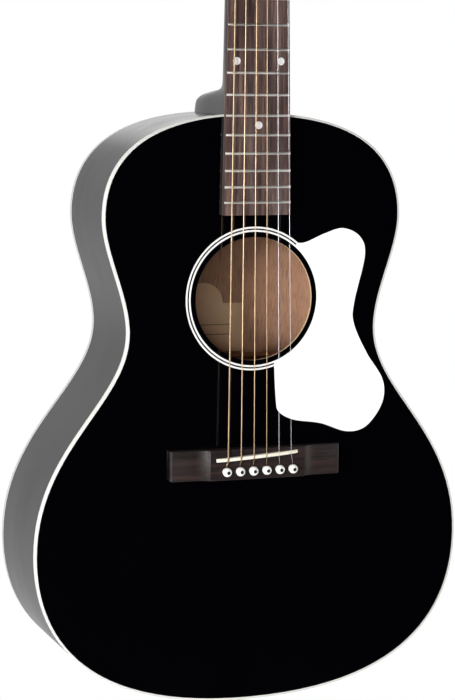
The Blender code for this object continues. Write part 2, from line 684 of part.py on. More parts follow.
def neck_top(z):
    """Depth of the neck's glued face under the fretboard."""
    return NECK_SLOPE * (z - FRET_14_Z)


def board_half(z):
    """Half-width of the fretboard."""
    nut_z = fret_z(0)
    return BOARD_HALF_14 + (NUT_HALF - BOARD_HALF_14) * (z - FRET_14_Z) / (nut_z - FRET_14_Z)


def fret_z(number):
    """Height of a fret; 0 is the nut."""
    return FRET_14_Z + SCALE * (2 ** (-number / 12) - 2 ** (-14 / 12))


def make_fretboard():
    """Arched board with its frets standing on it, lofted from the body end to the nut."""
    stations = [(BOARD_END_Z, 0)]
    for number in range(FRET_COUNT, 0, -1):
        z = fret_z(number)
        half = FRET_WIDE / 2
        stations += [(z - half, 0), (z - half / 2, 1), (z + half / 2, 1), (z + half, 0)]
        if number == 14:
            stations += [(JOINT_Z - GAP, 0), (JOINT_Z, 0)]
    stations.append((fret_z(0), 0))
    rings = []
    for z, fret in stations:
        half = board_half(z)
        top = BOARD_Y + neck_top(z) - fret * FRET_HIGH
        bottom = -GAP + (neck_top(z) if z >= JOINT_Z else 0.0)
        points = [(half * c, top + (half * c) ** 2 / (2 * BOARD_ARCH_RADIUS), z)
                  for c in (-1, -0.5, 0, 0.5, 1)]
        rings.append(points + [(half, bottom, z), (-half, bottom, z)])
    add("fretboard", loft(rings), "rosewood")


def neck_section(z, half, deep, back_half, roundness, top):
    """Points round the back of the neck, from one edge of its glued face to the other."""
    points = []
    for k in range(NECK_POINTS):
        angle = math.pi * k / (NECK_POINTS - 1)
        down = math.sin(angle) ** (roundness + 0.1) if 0 < k < NECK_POINTS - 1 else 0.0
        across = abs(math.cos(angle)) ** roundness if k != NECK_POINTS // 2 else 0.0
        narrowing = half - (half - back_half) * down ** 1.5
        points.append((math.copysign(across * narrowing, math.cos(angle)), top + deep * down, z))
    return points


def head_frame(s=0.0):
    """Placing whose x runs across the headstock, y up its face and z out of its face."""
    up = Vector((0, math.sin(HEAD_TILT), math.cos(HEAD_TILT)))
    out = Vector((0, -math.cos(HEAD_TILT), math.sin(HEAD_TILT)))
    start_z = fret_z(0) + NUT_LONG + 2 * GAP
    origin = Vector((0, neck_top(start_z), start_z)) + up * s
    axes = Matrix((Vector((1, 0, 0)), up, out)).transposed().to_4x4()
    return Matrix.Translation(origin) @ axes


def make_neck():
    rings = []
    for z, deep, back_half, roundness in HEEL:
        rings.append(neck_section(z, board_half(z), deep, back_half, roundness, neck_top(z)))
    for z, deep in SHAFT:
        half = board_half(z)
        rings.append(neck_section(z, half, deep, half, SHAFT_ROUND, neck_top(z)))
    for s, half in HEAD_OUTLINE:
        place = head_frame(s)
        flat = neck_section(0.0, half, HEAD_THICK, half, 0.06, 0.0)
        rings.append([tuple(place @ Vector((x, 0, -y))) for x, y, z in flat])
    neck = add("neck", loft(rings), "black_lacquer")
    upper = half_rim(BINDING_WIDE + GAP, 3.0, 4.0)
    body = upper + [(-x, z) for x, z in upper[-2::-1]]
    combine(neck, slab(body, -0.003, TAIL_DEPTH), "DIFFERENCE")
    tenon = slab(tenon_outline(0.0, JOINT_Z + 0.006), BINDING_DEEP + GAP, TENON_DEEP)
    combine(neck, tenon, "UNION")
    ends = (ROD_LOW_Z - 0.001, 0.8450)
    channel = loft([[(x, neck_top(z) + y, z) for x, y in rod_channel()] for z in ends])
    combine(neck, channel, "DIFFERENCE")
    pocket = box((-0.0052, 0.0010, -0.0112), (0.0052, 0.0200, 0.0040))
    combine(neck, pocket, "DIFFERENCE", head_frame())
    holes = bmesh.new()
    for s in POST_S:
        for x in (-POST_X, POST_X):
            extrude(circle(POST_HOLE, 14, (x, s)), -HEAD_THICK - 0.003, 0.003, holes)
    combine(neck, holes, "DIFFERENCE", head_frame())


def tenon_outline(extra, top_z):
    """Dovetail seen from the front: narrow at the heel, flared inside the neck block."""
    low = JOINT_Z - TENON_LONG - extra
    neck_z = JOINT_Z - SIDE_THICK - 2 * GAP
    flare, narrow = TENON_FLARE + extra, TENON_HALF + extra
    return [(-flare, low), (flare, low), (narrow, neck_z),
            (narrow, top_z), (-narrow, top_z), (-narrow, neck_z)]


def rod_channel():
    """Section of the truss rod's channel, open under the fretboard."""
    half = ROD_RADIUS + GAP
    bottom = ROD_DEPTH + ROD_RADIUS + GAP
    return [(-half, -0.002), (half, -0.002), (half, bottom), (-half, bottom)]


def make_heel_cap():
    """Thin cap over the heel's end, its outline rounded towards the nut."""
    half = CAP_HALF
    low = JOINT_Z + 0.0005
    outline = [(half * math.cos(math.pi * k / 12), low + CAP_LONG * math.sin(math.pi * k / 12) ** 0.6)
               for k in range(13)]
    front = HEEL_DEEP + neck_top(JOINT_Z) + GAP + 0.0002
    add("heel_cap", slab(outline, front, front + CAP_THICK), "black_lacquer")


def make_nut():
    low, high = fret_z(0) + GAP, fret_z(0) + GAP + NUT_LONG
    half = NUT_HALF
    rings = []
    for k in range(-4, 5):
        x = half * k / 4
        top = BOARD_Y + neck_top(low) - NUT_TOP_ABOVE_BOARD + x * x / (2 * BOARD_ARCH_RADIUS)
        bottom = neck_top(high) - GAP
        rings.append([(x, bottom, low), (x, top, low), (x, top + 0.0006, high - 0.001),
                      (x, top + 0.002, high), (x, bottom, high)])
    add("nut", loft(rings), "bone")


def make_truss_rod():
    rod_y = neck_top(ROD_TOP_Z) + ROD_DEPTH
    low = (0, neck_top(ROD_LOW_Z) + ROD_DEPTH, ROD_LOW_Z)
    add("truss_rod", tube([low, (0, rod_y, ROD_TOP_Z)], [ROD_RADIUS] * 2, 10), "steel")
    inner, outer = ROD_RADIUS + GAP, ROD_NUT_RADIUS
    sections = []
    for k in range(12):
        angle = 2 * math.pi * k / 12
        r = outer if k % 2 == 0 else outer * math.cos(math.pi / 6)
        corners = ((inner, 0.0), (r, 0.0), (r, ROD_NUT_LONG), (inner, ROD_NUT_LONG))
        sections.append([(a * math.cos(angle), a * math.sin(angle), z) for a, z in corners])
    nut_y = neck_top(ROD_NUT_Z) + ROD_DEPTH
    add("truss_rod_nut", loft(sections, closed=True), "brass", Matrix.Translation((0, nut_y, ROD_NUT_Z)))


def make_truss_rod_cover():
    """Plain cover over the truss rod's pocket."""
    half_shape = ((0.0125, 0.0022), (0.0122, 0.0110), (0.0100, 0.0200), (0.0078, 0.0280),
                  (0.0050, 0.0325), (0.0018, 0.0342))
    outline = list(half_shape) + [(-x, s) for x, s in reversed(half_shape)]
    add("truss_rod_cover", extrude(outline, GAP, GAP + 0.0018), "white_plastic", head_frame())


# ---------------------------------------------------------------- tuning machines

def machine_side(number):
    """Side and place up the head of a string's machine: strings 1-3 treble, 4-6 bass."""
    side = 1 if number <= 3 else -1
    s = POST_S[number - 1] if side > 0 else POST_S[6 - number]
    return side, s


def gear_ring(twist, height, side):
    """Outline of the 14-tooth gear, with a gap facing its worm."""
    points = []
    for tooth in range(TEETH):
        middle = -math.pi / 2 + (tooth + 0.5) * 2 * math.pi / TEETH + twist
        root, tip = GEAR_PITCH - TOOTH_IN, GEAR_PITCH + TOOTH_OUT
        slope = (TOOTH_MID_HALF - TOOTH_TIP_HALF) / TOOTH_OUT
        root_half = TOOTH_MID_HALF + slope * TOOTH_IN
        flank = ((root, -root_half), (tip, -TOOTH_TIP_HALF), (tip, TOOTH_TIP_HALF), (root, root_half))
        for r, half in flank:
            angle = middle + half / GEAR_PITCH
            points.append((side * r * math.cos(angle), r * math.sin(angle), height))
    return points


def make_post(number):
    """String post with its gear on the back end, about its own axis out of the head's face."""
    side, s = machine_side(number)
    lead = WORM_LEAD / (2 * math.pi * WORM_PITCH)
    twist = lead * GEAR_THICK / 2 / GEAR_PITCH
    gear_top = GEAR_AT + GEAR_THICK / 2
    post = turned(((0.0022, gear_top - 0.0002), (POST_RADIUS, gear_top + 0.0008),
                   (POST_RADIUS, 0.0042), (0.0024, 0.0062), (0.0024, 0.0112), (POST_RADIUS, 0.0128),
                   (POST_RADIUS, POST_TALL - 0.0006), (0.0023, POST_TALL)), 12)
    place = head_frame(s) @ Matrix.Translation((side * POST_X, 0, 0))
    made = add(f"string_post_{number}", post, "nickel", place)
    gear = loft([gear_ring(-twist, GEAR_AT - GEAR_THICK / 2, side),
                 gear_ring(twist, gear_top, side)])
    combine(made, gear, "UNION", place)


def worm_thread(side):
    """Helical thread of trapezoid section about x, one crest facing the gear at x = 0."""
    slope = (TOOTH_MID_HALF - TOOTH_TIP_HALF) / TOOTH_OUT
    deep = WORM_PITCH - 0.00165
    root, root_half = deep, TOOTH_MID_HALF + slope * (WORM_PITCH - deep)
    crest, crest_half = WORM_PITCH + TOOTH_OUT, TOOTH_TIP_HALF
    rings = []
    steps = int(WORM_TURNS * WORM_STEPS)
    for k in range(steps + 1):
        turn = (k - steps / 2) / WORM_STEPS
        angle = 2 * math.pi * turn
        centre = turn * WORM_LEAD
        corners = ((root, -root_half), (crest, -crest_half), (crest, crest_half), (root, root_half))
        rings.append([(side * (centre + along), r * math.cos(angle), r * math.sin(angle))
                      for r, along in corners])
    return loft(rings)


def make_knob(number):
    """Knob with its shaft and worm, about the shaft's axis, which runs out of the head's side."""
    side, s = machine_side(number)
    core = WORM_PITCH - TOOTH_IN
    worm_end = EAR_AT - GAP
    inner = -EAR_AT - EAR_THICK - 0.0006
    stations = [(inner, SHAFT_RADIUS, SHAFT_RADIUS), (-worm_end, SHAFT_RADIUS, SHAFT_RADIUS),
                (-worm_end, core, core), (worm_end, core, core), (worm_end, SHAFT_RADIUS, SHAFT_RADIUS)]
    stations += list(KNOB_SHAPE)
    rings = []
    for x, high, thick in stations:
        rings.append([(side * x, high * a, thick * b) for a, b in circle(1.0, 10)])
    place = head_frame(s) @ Matrix.Translation((side * POST_X, -CENTRES, GEAR_AT))
    made = add(f"tuner_knob_{number}", loft(rings), "nickel", place)
    combine(made, worm_thread(side), "UNION", place)


def make_machine_plate(name, side):
    """Plate along the back of the head, with a pair of ears for each worm and its holes."""
    top = BACK_FACE
    low = top - MACHINE_THICK
    centre = side * POST_X
    shape = box((centre - PLATE_X_HALF, PLATE_S_LOW, low), (centre + PLATE_X_HALF, PLATE_S_TOP, top))
    plate = add(name, shape, "nickel", head_frame())
    ears = bmesh.new()
    holes = bmesh.new()
    for s in POST_S:
        worm_s = s - CENTRES
        for near in (EAR_AT, -EAR_AT - EAR_THICK):
            a, b = sorted((side * (POST_X + near), side * (POST_X + near + EAR_THICK)))
            box((a, worm_s - EAR_HALF, GEAR_AT - EAR_HALF), (b, worm_s + EAR_HALF, low + 0.0006), ears)
        extrude(circle(POST_RADIUS + 0.0004, 14, (side * POST_X, s)), low - 0.002, top + 0.002, holes)
        loft([[(x, worm_s + a, GEAR_AT + b) for a, b in circle(EAR_HOLE, 12)]
              for x in (side * POST_X - 0.009, side * POST_X + 0.009)], holes)
    combine(plate, ears, "UNION", head_frame())
    combine(plate, holes, "DIFFERENCE", head_frame())


# ---------------------------------------------------------------- strings

def make_string(number):
    """One string: post, nut, saddle, then down through the bridge to its ball end."""
    r = STRING_RADII[number - 1]
    near = 0.00015
    side, s = machine_side(number)
    on_post = head_frame(s) @ Vector((side * (POST_X - POST_RADIUS - r - near), 0, STRING_ON_POST))
    nut_x = string_x(number, 0.0, NUT_SPAN)
    nut_z = fret_z(0) + GAP
    nut_arch = nut_x ** 2 / (2 * BOARD_ARCH_RADIUS)
    nut_y = BOARD_Y + neck_top(nut_z) - NUT_TOP_ABOVE_BOARD + nut_arch - r - near
    saddle_x = string_x(number, SADDLE_X + 0.0011, SADDLE_SPAN)
    local = (saddle_x - SADDLE_X) / math.cos(SADDLE_SLANT)
    saddle_z = SADDLE_Z + local * math.sin(SADDLE_SLANT)
    saddle_y = saddle_top(local) - r - near
    x, drop_z = pin_x(number), PIN_Z + STRING_AHEAD
    back_x = saddle_x + (x - saddle_x) * 0.2
    path = [on_post, (nut_x, nut_y - 0.0001, nut_z + NUT_LONG), (nut_x, nut_y, nut_z + 0.0005),
            (saddle_x, saddle_y, saddle_z + 0.0004), (saddle_x, saddle_y, saddle_z - 0.0004),
            (back_x, saddle_y + 0.0004, saddle_z - 0.0018),
            (x, -BRIDGE_THICK - 0.0017, drop_z + 0.0016), (x, -BRIDGE_THICK - 0.0004, drop_z + 0.0001),
            (x, -BRIDGE_THICK + 0.0010, drop_z), (x, 0.0061, drop_z),
            (x, 0.0066, drop_z), (x, 0.0096, drop_z)]
    radii = [r] * (len(path) - 2) + [0.00125] * 2
    slot = "steel" if number <= 2 else "bronze"
    add(f"string_{number}", tube(path, radii, STRING_SIDES), slot)


# ---------------------------------------------------------------- assembly

def clear_scene():
    for old in list(bpy.data.objects):
        bpy.data.objects.remove(old)


def main():
    clear_scene()
    datum = bpy.data.objects.new("body_datum", None)
    bpy.context.scene.collection.objects.link(datum)
    datum.location = (0, -END_PIN_Y, -END_PIN_FACE)
    make_soundboard()
    make_rosette()
    make_back_plate()
    make_sides()
    make_bindings()
    make_linings()
    make_blocks()
    make_end_pin()
    make_top_braces()
    make_bridge_plate()
    make_back_braces()
    make_pickguard()
    make_bridge()
    make_saddle()
    make_bridge_pins()
    make_fretboard()
    make_neck()
    make_heel_cap()
    make_nut()
    make_truss_rod()
    make_truss_rod_cover()
    for name, side in (("tuner_plate_treble", 1), ("tuner_plate_bass", -1)):
        make_machine_plate(name, side)
    for number in range(1, 7):
        make_post(number)
        make_knob(number)
        make_string(number)


main()
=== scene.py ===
import math

import bmesh
import bpy
from mathutils import Matrix, Vector


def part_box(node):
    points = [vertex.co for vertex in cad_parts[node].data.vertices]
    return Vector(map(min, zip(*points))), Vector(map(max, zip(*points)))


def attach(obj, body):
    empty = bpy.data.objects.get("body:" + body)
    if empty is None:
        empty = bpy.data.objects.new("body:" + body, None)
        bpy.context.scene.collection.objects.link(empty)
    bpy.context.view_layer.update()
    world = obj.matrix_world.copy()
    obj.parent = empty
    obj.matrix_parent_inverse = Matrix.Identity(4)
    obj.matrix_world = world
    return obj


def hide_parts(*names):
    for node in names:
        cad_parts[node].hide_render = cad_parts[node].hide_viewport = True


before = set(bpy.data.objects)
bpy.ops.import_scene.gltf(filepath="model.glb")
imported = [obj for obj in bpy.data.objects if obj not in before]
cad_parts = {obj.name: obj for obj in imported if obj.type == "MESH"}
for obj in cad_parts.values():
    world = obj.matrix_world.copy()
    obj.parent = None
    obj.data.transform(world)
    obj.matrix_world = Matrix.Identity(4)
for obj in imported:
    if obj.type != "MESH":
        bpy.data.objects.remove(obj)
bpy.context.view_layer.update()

# The datum: the soundboard's face at its tail edge. y is the depth behind that face.
DATUM = Vector((0.0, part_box("soundboard")[0].y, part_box("soundboard")[0].z))

# Plan of the soundboard, as in the CAD part
LOWER_HALF, LOWER_Z = 0.1843, 0.1304
WAIST_HALF, WAIST_Z = 0.1067, 0.3101
UPPER_HALF, UPPER_Z = 0.1273, 0.4034
BODY_Z = 0.4860
HALF_OUTLINE = (
    ((0, 0), (0.1545, 0), (LOWER_HALF, LOWER_Z - 0.0565), (LOWER_HALF, LOWER_Z)),
    ((LOWER_HALF, LOWER_Z), (LOWER_HALF, LOWER_Z + 0.0896),
     (WAIST_HALF, WAIST_Z - 0.0567), (WAIST_HALF, WAIST_Z)),
    ((WAIST_HALF, WAIST_Z), (WAIST_HALF, WAIST_Z + 0.0310),
     (UPPER_HALF, UPPER_Z - 0.0285), (UPPER_HALF, UPPER_Z)),
    ((UPPER_HALF, UPPER_Z), (UPPER_HALF, UPPER_Z + 0.0442), (0.0980, BODY_Z), (0, BODY_Z)),
)
CURVE_STEPS = 28
TOP_THICK, BACK_THICK, SIDE_THICK = 0.0028, 0.0026, 0.0020
BACK_ARCH_RADIUS = 4.57
TAIL_DEPTH, DEPTH_TAPER = 0.1154, 0.0400
BINDING_WIDE, BINDING_DEEP = 0.00166, 0.00505
HAIRLINE = 0.00008                # a glue line between two pieces

HOLE_Z, HOLE_RADIUS = 0.3360, 0.0508
GUARD_ARC_RADIUS, GUARD_THICK = 0.0552, 0.0009

SCALE, FRET_14_Z = 0.62865, 0.48576
NECK_SLOPE = 0.0079
BOARD_Y, BOARD_ARCH = -0.0066, 0.305
BOARD_END_Z, BOARD_HALF_14 = 0.4050, 0.0277
NUT_HALF, NUT_LONG, NUT_TOP = 0.02222, 0.0060, 0.0018
JOINT_Z = BODY_Z + BINDING_WIDE + 0.0003
HEAD_TILT, HEAD_THICK = math.radians(15.0), 0.0150

BRIDGE_THICK = 0.0105
PIN_X, PIN_SPAN, PIN_Z, PIN_BALL, PIN_BALL_Y = 0.0020, 0.0580, 0.1950, 0.0038, 0.0140
STRING_AHEAD = 0.0034
SADDLE_X, SADDLE_Z, SADDLE_SLANT, SADDLE_TOP = 0.0004, 0.2067, math.radians(3.75), 0.0143
NUT_SPAN, SADDLE_SPAN = 0.0385, 0.0556
STRING_RADII = (0.00015, 0.00020, 0.00031, 0.00041, 0.00053, 0.00067)
WINDING_PITCH, WINDING_ROOT = 0.00055, 0.88
POST_S, POST_X, POST_WAIST = (0.0380, 0.0760, 0.1140), 0.0215, 0.0024
STRING_ON_POST = 0.0070


# ---------------------------------------------------------------- materials

def shader(name, colour, roughness, metallic=0.0, coat=0.0, specular=0.5):
    """New material with a Principled shader; returns the material, its node tree and the shader."""
    made = bpy.data.materials.new(name)
    made.use_nodes = True
    tree = made.node_tree
    bsdf = tree.nodes["Principled BSDF"]
    bsdf.inputs["Base Color"].default_value = (*colour, 1.0)
    bsdf.inputs["Roughness"].default_value = roughness
    bsdf.inputs["Metallic"].default_value = metallic
    bsdf.inputs["Coat Weight"].default_value = coat
    bsdf.inputs["Specular IOR Level"].default_value = specular
    return made, tree, bsdf


def noise(tree, scale, stretch=(1, 1, 1), detail=4.0, rough=0.55, distort=0.0):
    """Noise over the object's own coordinates, stretched along its axes; returns its factor socket."""
    place = tree.nodes.new("ShaderNodeTexCoord")
    mapping = tree.nodes.new("ShaderNodeMapping")
    mapping.inputs["Scale"].default_value = stretch
    texture = tree.nodes.new("ShaderNodeTexNoise")
    texture.inputs["Scale"].default_value = scale
    texture.inputs["Detail"].default_value = detail
    texture.inputs["Roughness"].default_value = rough
    texture.inputs["Distortion"].default_value = distort
    tree.links.new(place.outputs["Object"], mapping.inputs["Vector"])
    tree.links.new(mapping.outputs["Vector"], texture.inputs["Vector"])
    return texture.outputs["Fac"]


def ramp(tree, source, stops):
    """Colour ramp through (position, colour) stops; returns its colour socket."""
    node = tree.nodes.new("ShaderNodeValToRGB")
    elements = node.color_ramp.elements
    while len(elements) < len(stops):
        elements.new(0.5)
    for element, (position, colour) in zip(elements, stops):
        element.position = position
        element.color = (*colour, 1.0)
    tree.links.new(source, node.inputs["Fac"])
    return node.outputs["Color"]


def spread(tree, source, low, high, bsdf_input):
    """Drives a shader input from a 0..1 socket, mapped to a range."""
    node = tree.nodes.new("ShaderNodeMapRange")
    node.inputs["From Min"].default_value = 0.3
    node.inputs["From Max"].default_value = 0.7
    node.inputs["To Min"].default_value = low
    node.inputs["To Max"].default_value = high
    tree.links.new(source, node.inputs["Value"])
    tree.links.new(node.outputs["Result"], bsdf_input)


def mix(tree, kind, factor, a, b):
    """Mixes two colour sockets; factor is a number or a socket."""
    node = tree.nodes.new("ShaderNodeMix")
    node.data_type = "RGBA"
    node.blend_type = kind
    if isinstance(factor, float):
        node.inputs["Factor"].default_value = factor
    else:
        tree.links.new(factor, node.inputs["Factor"])
    tree.links.new(a, node.inputs["A"])
    tree.links.new(b, node.inputs["B"])
    return node.outputs["Result"]


def bump(tree, bsdf, height, strength, distance):
    node = tree.nodes.new("ShaderNodeBump")
    node.inputs["Strength"].default_value = strength
    node.inputs["Distance"].default_value = distance
    tree.links.new(height, node.inputs["Height"])
    tree.links.new(node.outputs["Normal"], bsdf.inputs["Normal"])


def black_gloss():
    """Polished black lacquer with a faint orange peel."""
    made, tree, bsdf = shader("black_gloss", (0.0006, 0.0005, 0.0010), 0.07, coat=0.3)
    bsdf.inputs["Coat Roughness"].default_value = 0.04
    spread(tree, noise(tree, 18.0, detail=3.0), 0.05, 0.11, bsdf.inputs["Roughness"])
    bump(tree, bsdf, noise(tree, 420.0, detail=2.0), 0.04, 0.0002)
    return made


def black_satin():
    """Black lacquer over mahogany, a little softer, its pores just showing."""
    made, tree, bsdf = shader("black_satin", (0.006, 0.006, 0.007), 0.22)
    spread(tree, noise(tree, 30.0, (1, 1, 0.2), 5.0), 0.17, 0.28, bsdf.inputs["Roughness"])
    bump(tree, bsdf, noise(tree, 260.0, (1, 1, 0.08), 3.0), 0.08, 0.0003)
    return made


def white_plastic(name, colour, roughness):
    made, tree, bsdf = shader(name, colour, roughness)
    dull = tuple(c * 0.965 for c in colour)
    cloud = noise(tree, 25.0, detail=3.0)
    tree.links.new(ramp(tree, cloud, ((0.3, dull), (0.7, colour))), bsdf.inputs["Base Color"])
    spread(tree, noise(tree, 70.0, detail=4.0), roughness * 0.8, roughness * 1.25, bsdf.inputs["Roughness"])
    bump(tree, bsdf, noise(tree, 300.0, detail=2.0), 0.03, 0.0002)
    return made


def wood(name, stretch, scale, stops, roughness, pore_depth, tint=None, specular=0.5):
    """Open-grained wood: broad figure, fine fibres and pores, all stretched along the grain."""
    made, tree, bsdf = shader(name, stops[0][1], roughness, specular=specular)
    fibres = noise(tree, scale, stretch, 8.0, 0.62, 0.35)
    colour = ramp(tree, fibres, stops)
    pores = noise(tree, scale * 6.0, stretch, 3.0, 0.5)
    dark = ramp(tree, pores, ((0.36, (0.45, 0.42, 0.42)), (0.47, (1, 1, 1))))
    colour = mix(tree, "MULTIPLY", 0.75, colour, dark)
    if tint:
        patches = noise(tree, scale * 0.35, stretch, 2.0)
        shade = ramp(tree, patches, ((0.35, (1, 1, 1)), (0.65, tint)))
        colour = mix(tree, "MULTIPLY", 0.8, colour, shade)
    tree.links.new(colour, bsdf.inputs["Base Color"])
    spread(tree, fibres, roughness * 0.85, min(roughness * 1.2, 1.0), bsdf.inputs["Roughness"])
    bump(tree, bsdf, pores, pore_depth, 0.0006)
    return made


def metal(name, colour, roughness, scale=60.0, grit=0.05):
    made, tree, bsdf = shader(name, colour, roughness, metallic=1.0)
    worn = tuple(c * 0.8 for c in colour)
    stain = noise(tree, scale, detail=5.0)
    tree.links.new(ramp(tree, stain, ((0.35, worn), (0.6, colour))), bsdf.inputs["Base Color"])
    spread(tree, stain, roughness * 0.7, roughness * 1.4, bsdf.inputs["Roughness"])
    if grit:
        bump(tree, bsdf, noise(tree, scale * 8.0, detail=2.0), grit, 0.0002)
    return made


def wound_wire():
    """Phosphor bronze, a little tarnished."""
    made, tree, bsdf = shader("wound_bronze", (0.32, 0.235, 0.145), 0.42, metallic=1.0)
    tarnish = noise(tree, 30.0, detail=4.0)
    stops = ((0.3, (0.27, 0.195, 0.12)), (0.7, (0.36, 0.265, 0.17)))
    tree.links.new(ramp(tree, tarnish, stops), bsdf.inputs["Base Color"])
    spread(tree, tarnish, 0.34, 0.46, bsdf.inputs["Roughness"])
    return made


def bone():
    made, tree, bsdf = shader("bone", (0.80, 0.72, 0.58), 0.35)
    bsdf.inputs["Subsurface Weight"].default_value = 0.15
    bsdf.inputs["Subsurface Radius"].default_value = (0.002, 0.0015, 0.001)
    streaks = noise(tree, 55.0, (0.3, 1, 1), 5.0)
    stops = ((0.3, (0.74, 0.68, 0.54)), (0.7, (0.86, 0.82, 0.71)))
    tree.links.new(ramp(tree, streaks, stops), bsdf.inputs["Base Color"])
    bump(tree, bsdf, noise(tree, 400.0, detail=2.0), 0.05, 0.0002)
    return made


def pearl():
    made, tree, bsdf = shader("pearl", (0.78, 0.74, 0.70), 0.18, coat=0.5)
    swirl = noise(tree, 140.0, (1, 1, 1), 3.0, 0.5, 2.5)
    stops = ((0.3, (0.60, 0.65, 0.64)), (0.5, (0.76, 0.73, 0.71)), (0.7, (0.66, 0.62, 0.69)))
    tree.links.new(ramp(tree, swirl, stops), bsdf.inputs["Base Color"])
    bump(tree, bsdf, swirl, 0.05, 0.0003)
    return made


def paper():
    """Aged cream paper."""
    made, tree, bsdf = shader("paper", (0.60, 0.50, 0.34), 0.85)
    spots = noise(tree, 60.0, detail=6.0)
    stops = ((0.3, (0.84, 0.55, 0.33)), (0.7, (0.93, 0.64, 0.42)))
    tree.links.new(ramp(tree, spots, stops), bsdf.inputs["Base Color"])
    bump(tree, bsdf, noise(tree, 700.0, detail=4.0), 0.15, 0.0002)
    return made


def ink():
    made, tree, bsdf = shader("ink", (0.16, 0.10, 0.07), 0.8)
    tree.links.new(ramp(tree, noise(tree, 900.0), ((0.3, (0.12, 0.08, 0.05)), (0.7, (0.22, 0.15, 0.10)))),
                   bsdf.inputs["Base Color"])
    return made


ALONG_Z, ALONG_X = (1, 1, 0.045), (0.045, 1, 1)
BOARD_TONES = ((0.36, (0.030, 0.018, 0.017)), (0.5, (0.078, 0.053, 0.048)), (0.64, (0.165, 0.120, 0.106)))
BRIDGE_TONES = ((0.30, (0.005, 0.003, 0.003)), (0.52, (0.013, 0.0078, 0.0078)), (0.72, (0.034, 0.015, 0.013)))
MAHOGANY_TONES = ((0.25, (0.48, 0.265, 0.165)), (0.5, (0.52, 0.295, 0.188)), (0.75, (0.56, 0.325, 0.212)))
SPRUCE_TONES = ((0.3, (0.52, 0.36, 0.20)), (0.5, (0.66, 0.49, 0.30)), (0.75, (0.74, 0.58, 0.38)))
MATERIALS = {
    "black_gloss": black_gloss(),
    "black_satin": black_satin(),
    "binding": white_plastic("binding", (0.58, 0.57, 0.55), 0.35),
    "guard": white_plastic("guard", (0.90, 0.90, 0.90), 0.22),
    "rosette": white_plastic("rosette_white", (0.80, 0.79, 0.77), 0.4),
    "pin": white_plastic("pin_plastic", (0.84, 0.83, 0.80), 0.25),
    "dot": shader("dot_black", (0.01, 0.01, 0.01), 0.3)[0],
    "board": wood("rosewood_board", ALONG_Z, 210.0, BOARD_TONES, 0.55, 0.25, (0.95, 0.66, 0.60), 0.25),
    "bridge": wood("rosewood_bridge", ALONG_X, 210.0, BRIDGE_TONES, 0.5, 0.25, (1.0, 0.62, 0.52), 0.3),
    "mahogany": wood("mahogany", ALONG_Z, 260.0, MAHOGANY_TONES, 0.6, 0.1, (0.92, 0.84, 0.80)),
    "spruce": wood("spruce", ALONG_Z, 260.0, SPRUCE_TONES, 0.65, 0.12),
    "spruce_x": wood("spruce_across", ALONG_X, 260.0, SPRUCE_TONES, 0.65, 0.12),
    "bone": bone(),
    "pearl": pearl(),
    "paper": paper(),
    "ink": ink(),
    "nickel": metal("nickel", (0.62, 0.60, 0.56), 0.28),
    "fret": metal("fret_nickel", (0.80, 0.77, 0.73), 0.45, 20.0, 0.0),
    "steel": metal("plain_steel", (0.46, 0.46, 0.48), 0.40, 15.0, 0.0),
    "brass": metal("brass", (0.66, 0.48, 0.20), 0.32),
    "bronze": wound_wire(),
}


# ---------------------------------------------------------------- mesh tools

def piece(name, bm, material, body="guitar", replaces=(), placing=None, bevel=0.0, angle=35.0, more=()):
    """Makes a piece of the object from a bmesh in datum coordinates, riding on a body."""
    bmesh.ops.recalc_face_normals(bm, faces=bm.faces)
    bm.transform(Matrix.Translation(DATUM) @ (placing or Matrix()))
    mesh = bpy.data.meshes.new(name)
    bm.to_mesh(mesh)
    bm.free()
    return piece_of_mesh(name, mesh, material, body, replaces, bevel, angle, more)


def piece_of_mesh(name, mesh, material, body="guitar", replaces=(), bevel=0.0, angle=35.0, more=()):
    made = bpy.data.objects.new(name, mesh)
    bpy.context.scene.collection.objects.link(made)
    mesh.materials.clear()
    for key in (material,) + tuple(more):
        mesh.materials.append(MATERIALS[key])
    mesh.shade_smooth()
    mesh.set_sharp_from_angle(angle=math.radians(angle))
    if bevel:
        edge = made.modifiers.new("Edges", "BEVEL")
        edge.width = bevel
        edge.segments = 2
        edge.limit_method = "ANGLE"
        edge.angle_limit = math.radians(40)
        edge.harden_normals = True
    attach(made, body)
    if replaces:
        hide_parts(*replaces)
    return made


def cut(target, bm, placing=None, material=None):
    """Cuts a helper shape out of a piece and applies the cut."""
    bmesh.ops.recalc_face_normals(bm, faces=bm.faces)
    bm.transform(Matrix.Translation(DATUM) @ (placing or Matrix()))
    mesh = bpy.data.meshes.new("cutter")
    bm.to_mesh(mesh)
    bm.free()
    if material:
        mesh.materials.append(MATERIALS[material])
    helper = bpy.data.objects.new("cutter", mesh)
    bpy.context.scene.collection.objects.link(helper)
    modifier = target.modifiers.new("Cut", "BOOLEAN")
    modifier.solver = "EXACT"
    modifier.object = helper
    if material:
        modifier.material_mode = "TRANSFER"
    while target.modifiers[0] != modifier:
        target.modifiers.move(len(target.modifiers) - 1, 0)
    bpy.context.view_layer.update()
    with bpy.context.temp_override(object=target, active_object=target, selected_objects=[target]):
        bpy.ops.object.modifier_apply(modifier=modifier.name)
    bpy.data.objects.remove(helper)
    bpy.data.meshes.remove(mesh)
    target.data.set_sharp_from_angle(angle=math.radians(35))


def refined(node, material, bevel=0.0003, angle=40.0, body="guitar", more=()):
    """Piece with a CAD node's shape, its facets smoothed and its edges eased."""
    bm = bmesh.new()
    bm.from_mesh(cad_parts[node].data)
    bmesh.ops.remove_doubles(bm, verts=bm.verts, dist=0.00001)
    bmesh.ops.dissolve_limit(bm, angle_limit=math.radians(1), verts=bm.verts, edges=bm.edges)
    mesh = bpy.data.meshes.new(f"{node}_fine")
    bm.to_mesh(mesh)
    bm.free()
    return piece_of_mesh(f"{node}_fine", mesh, material, body, (node,), bevel, angle, more)


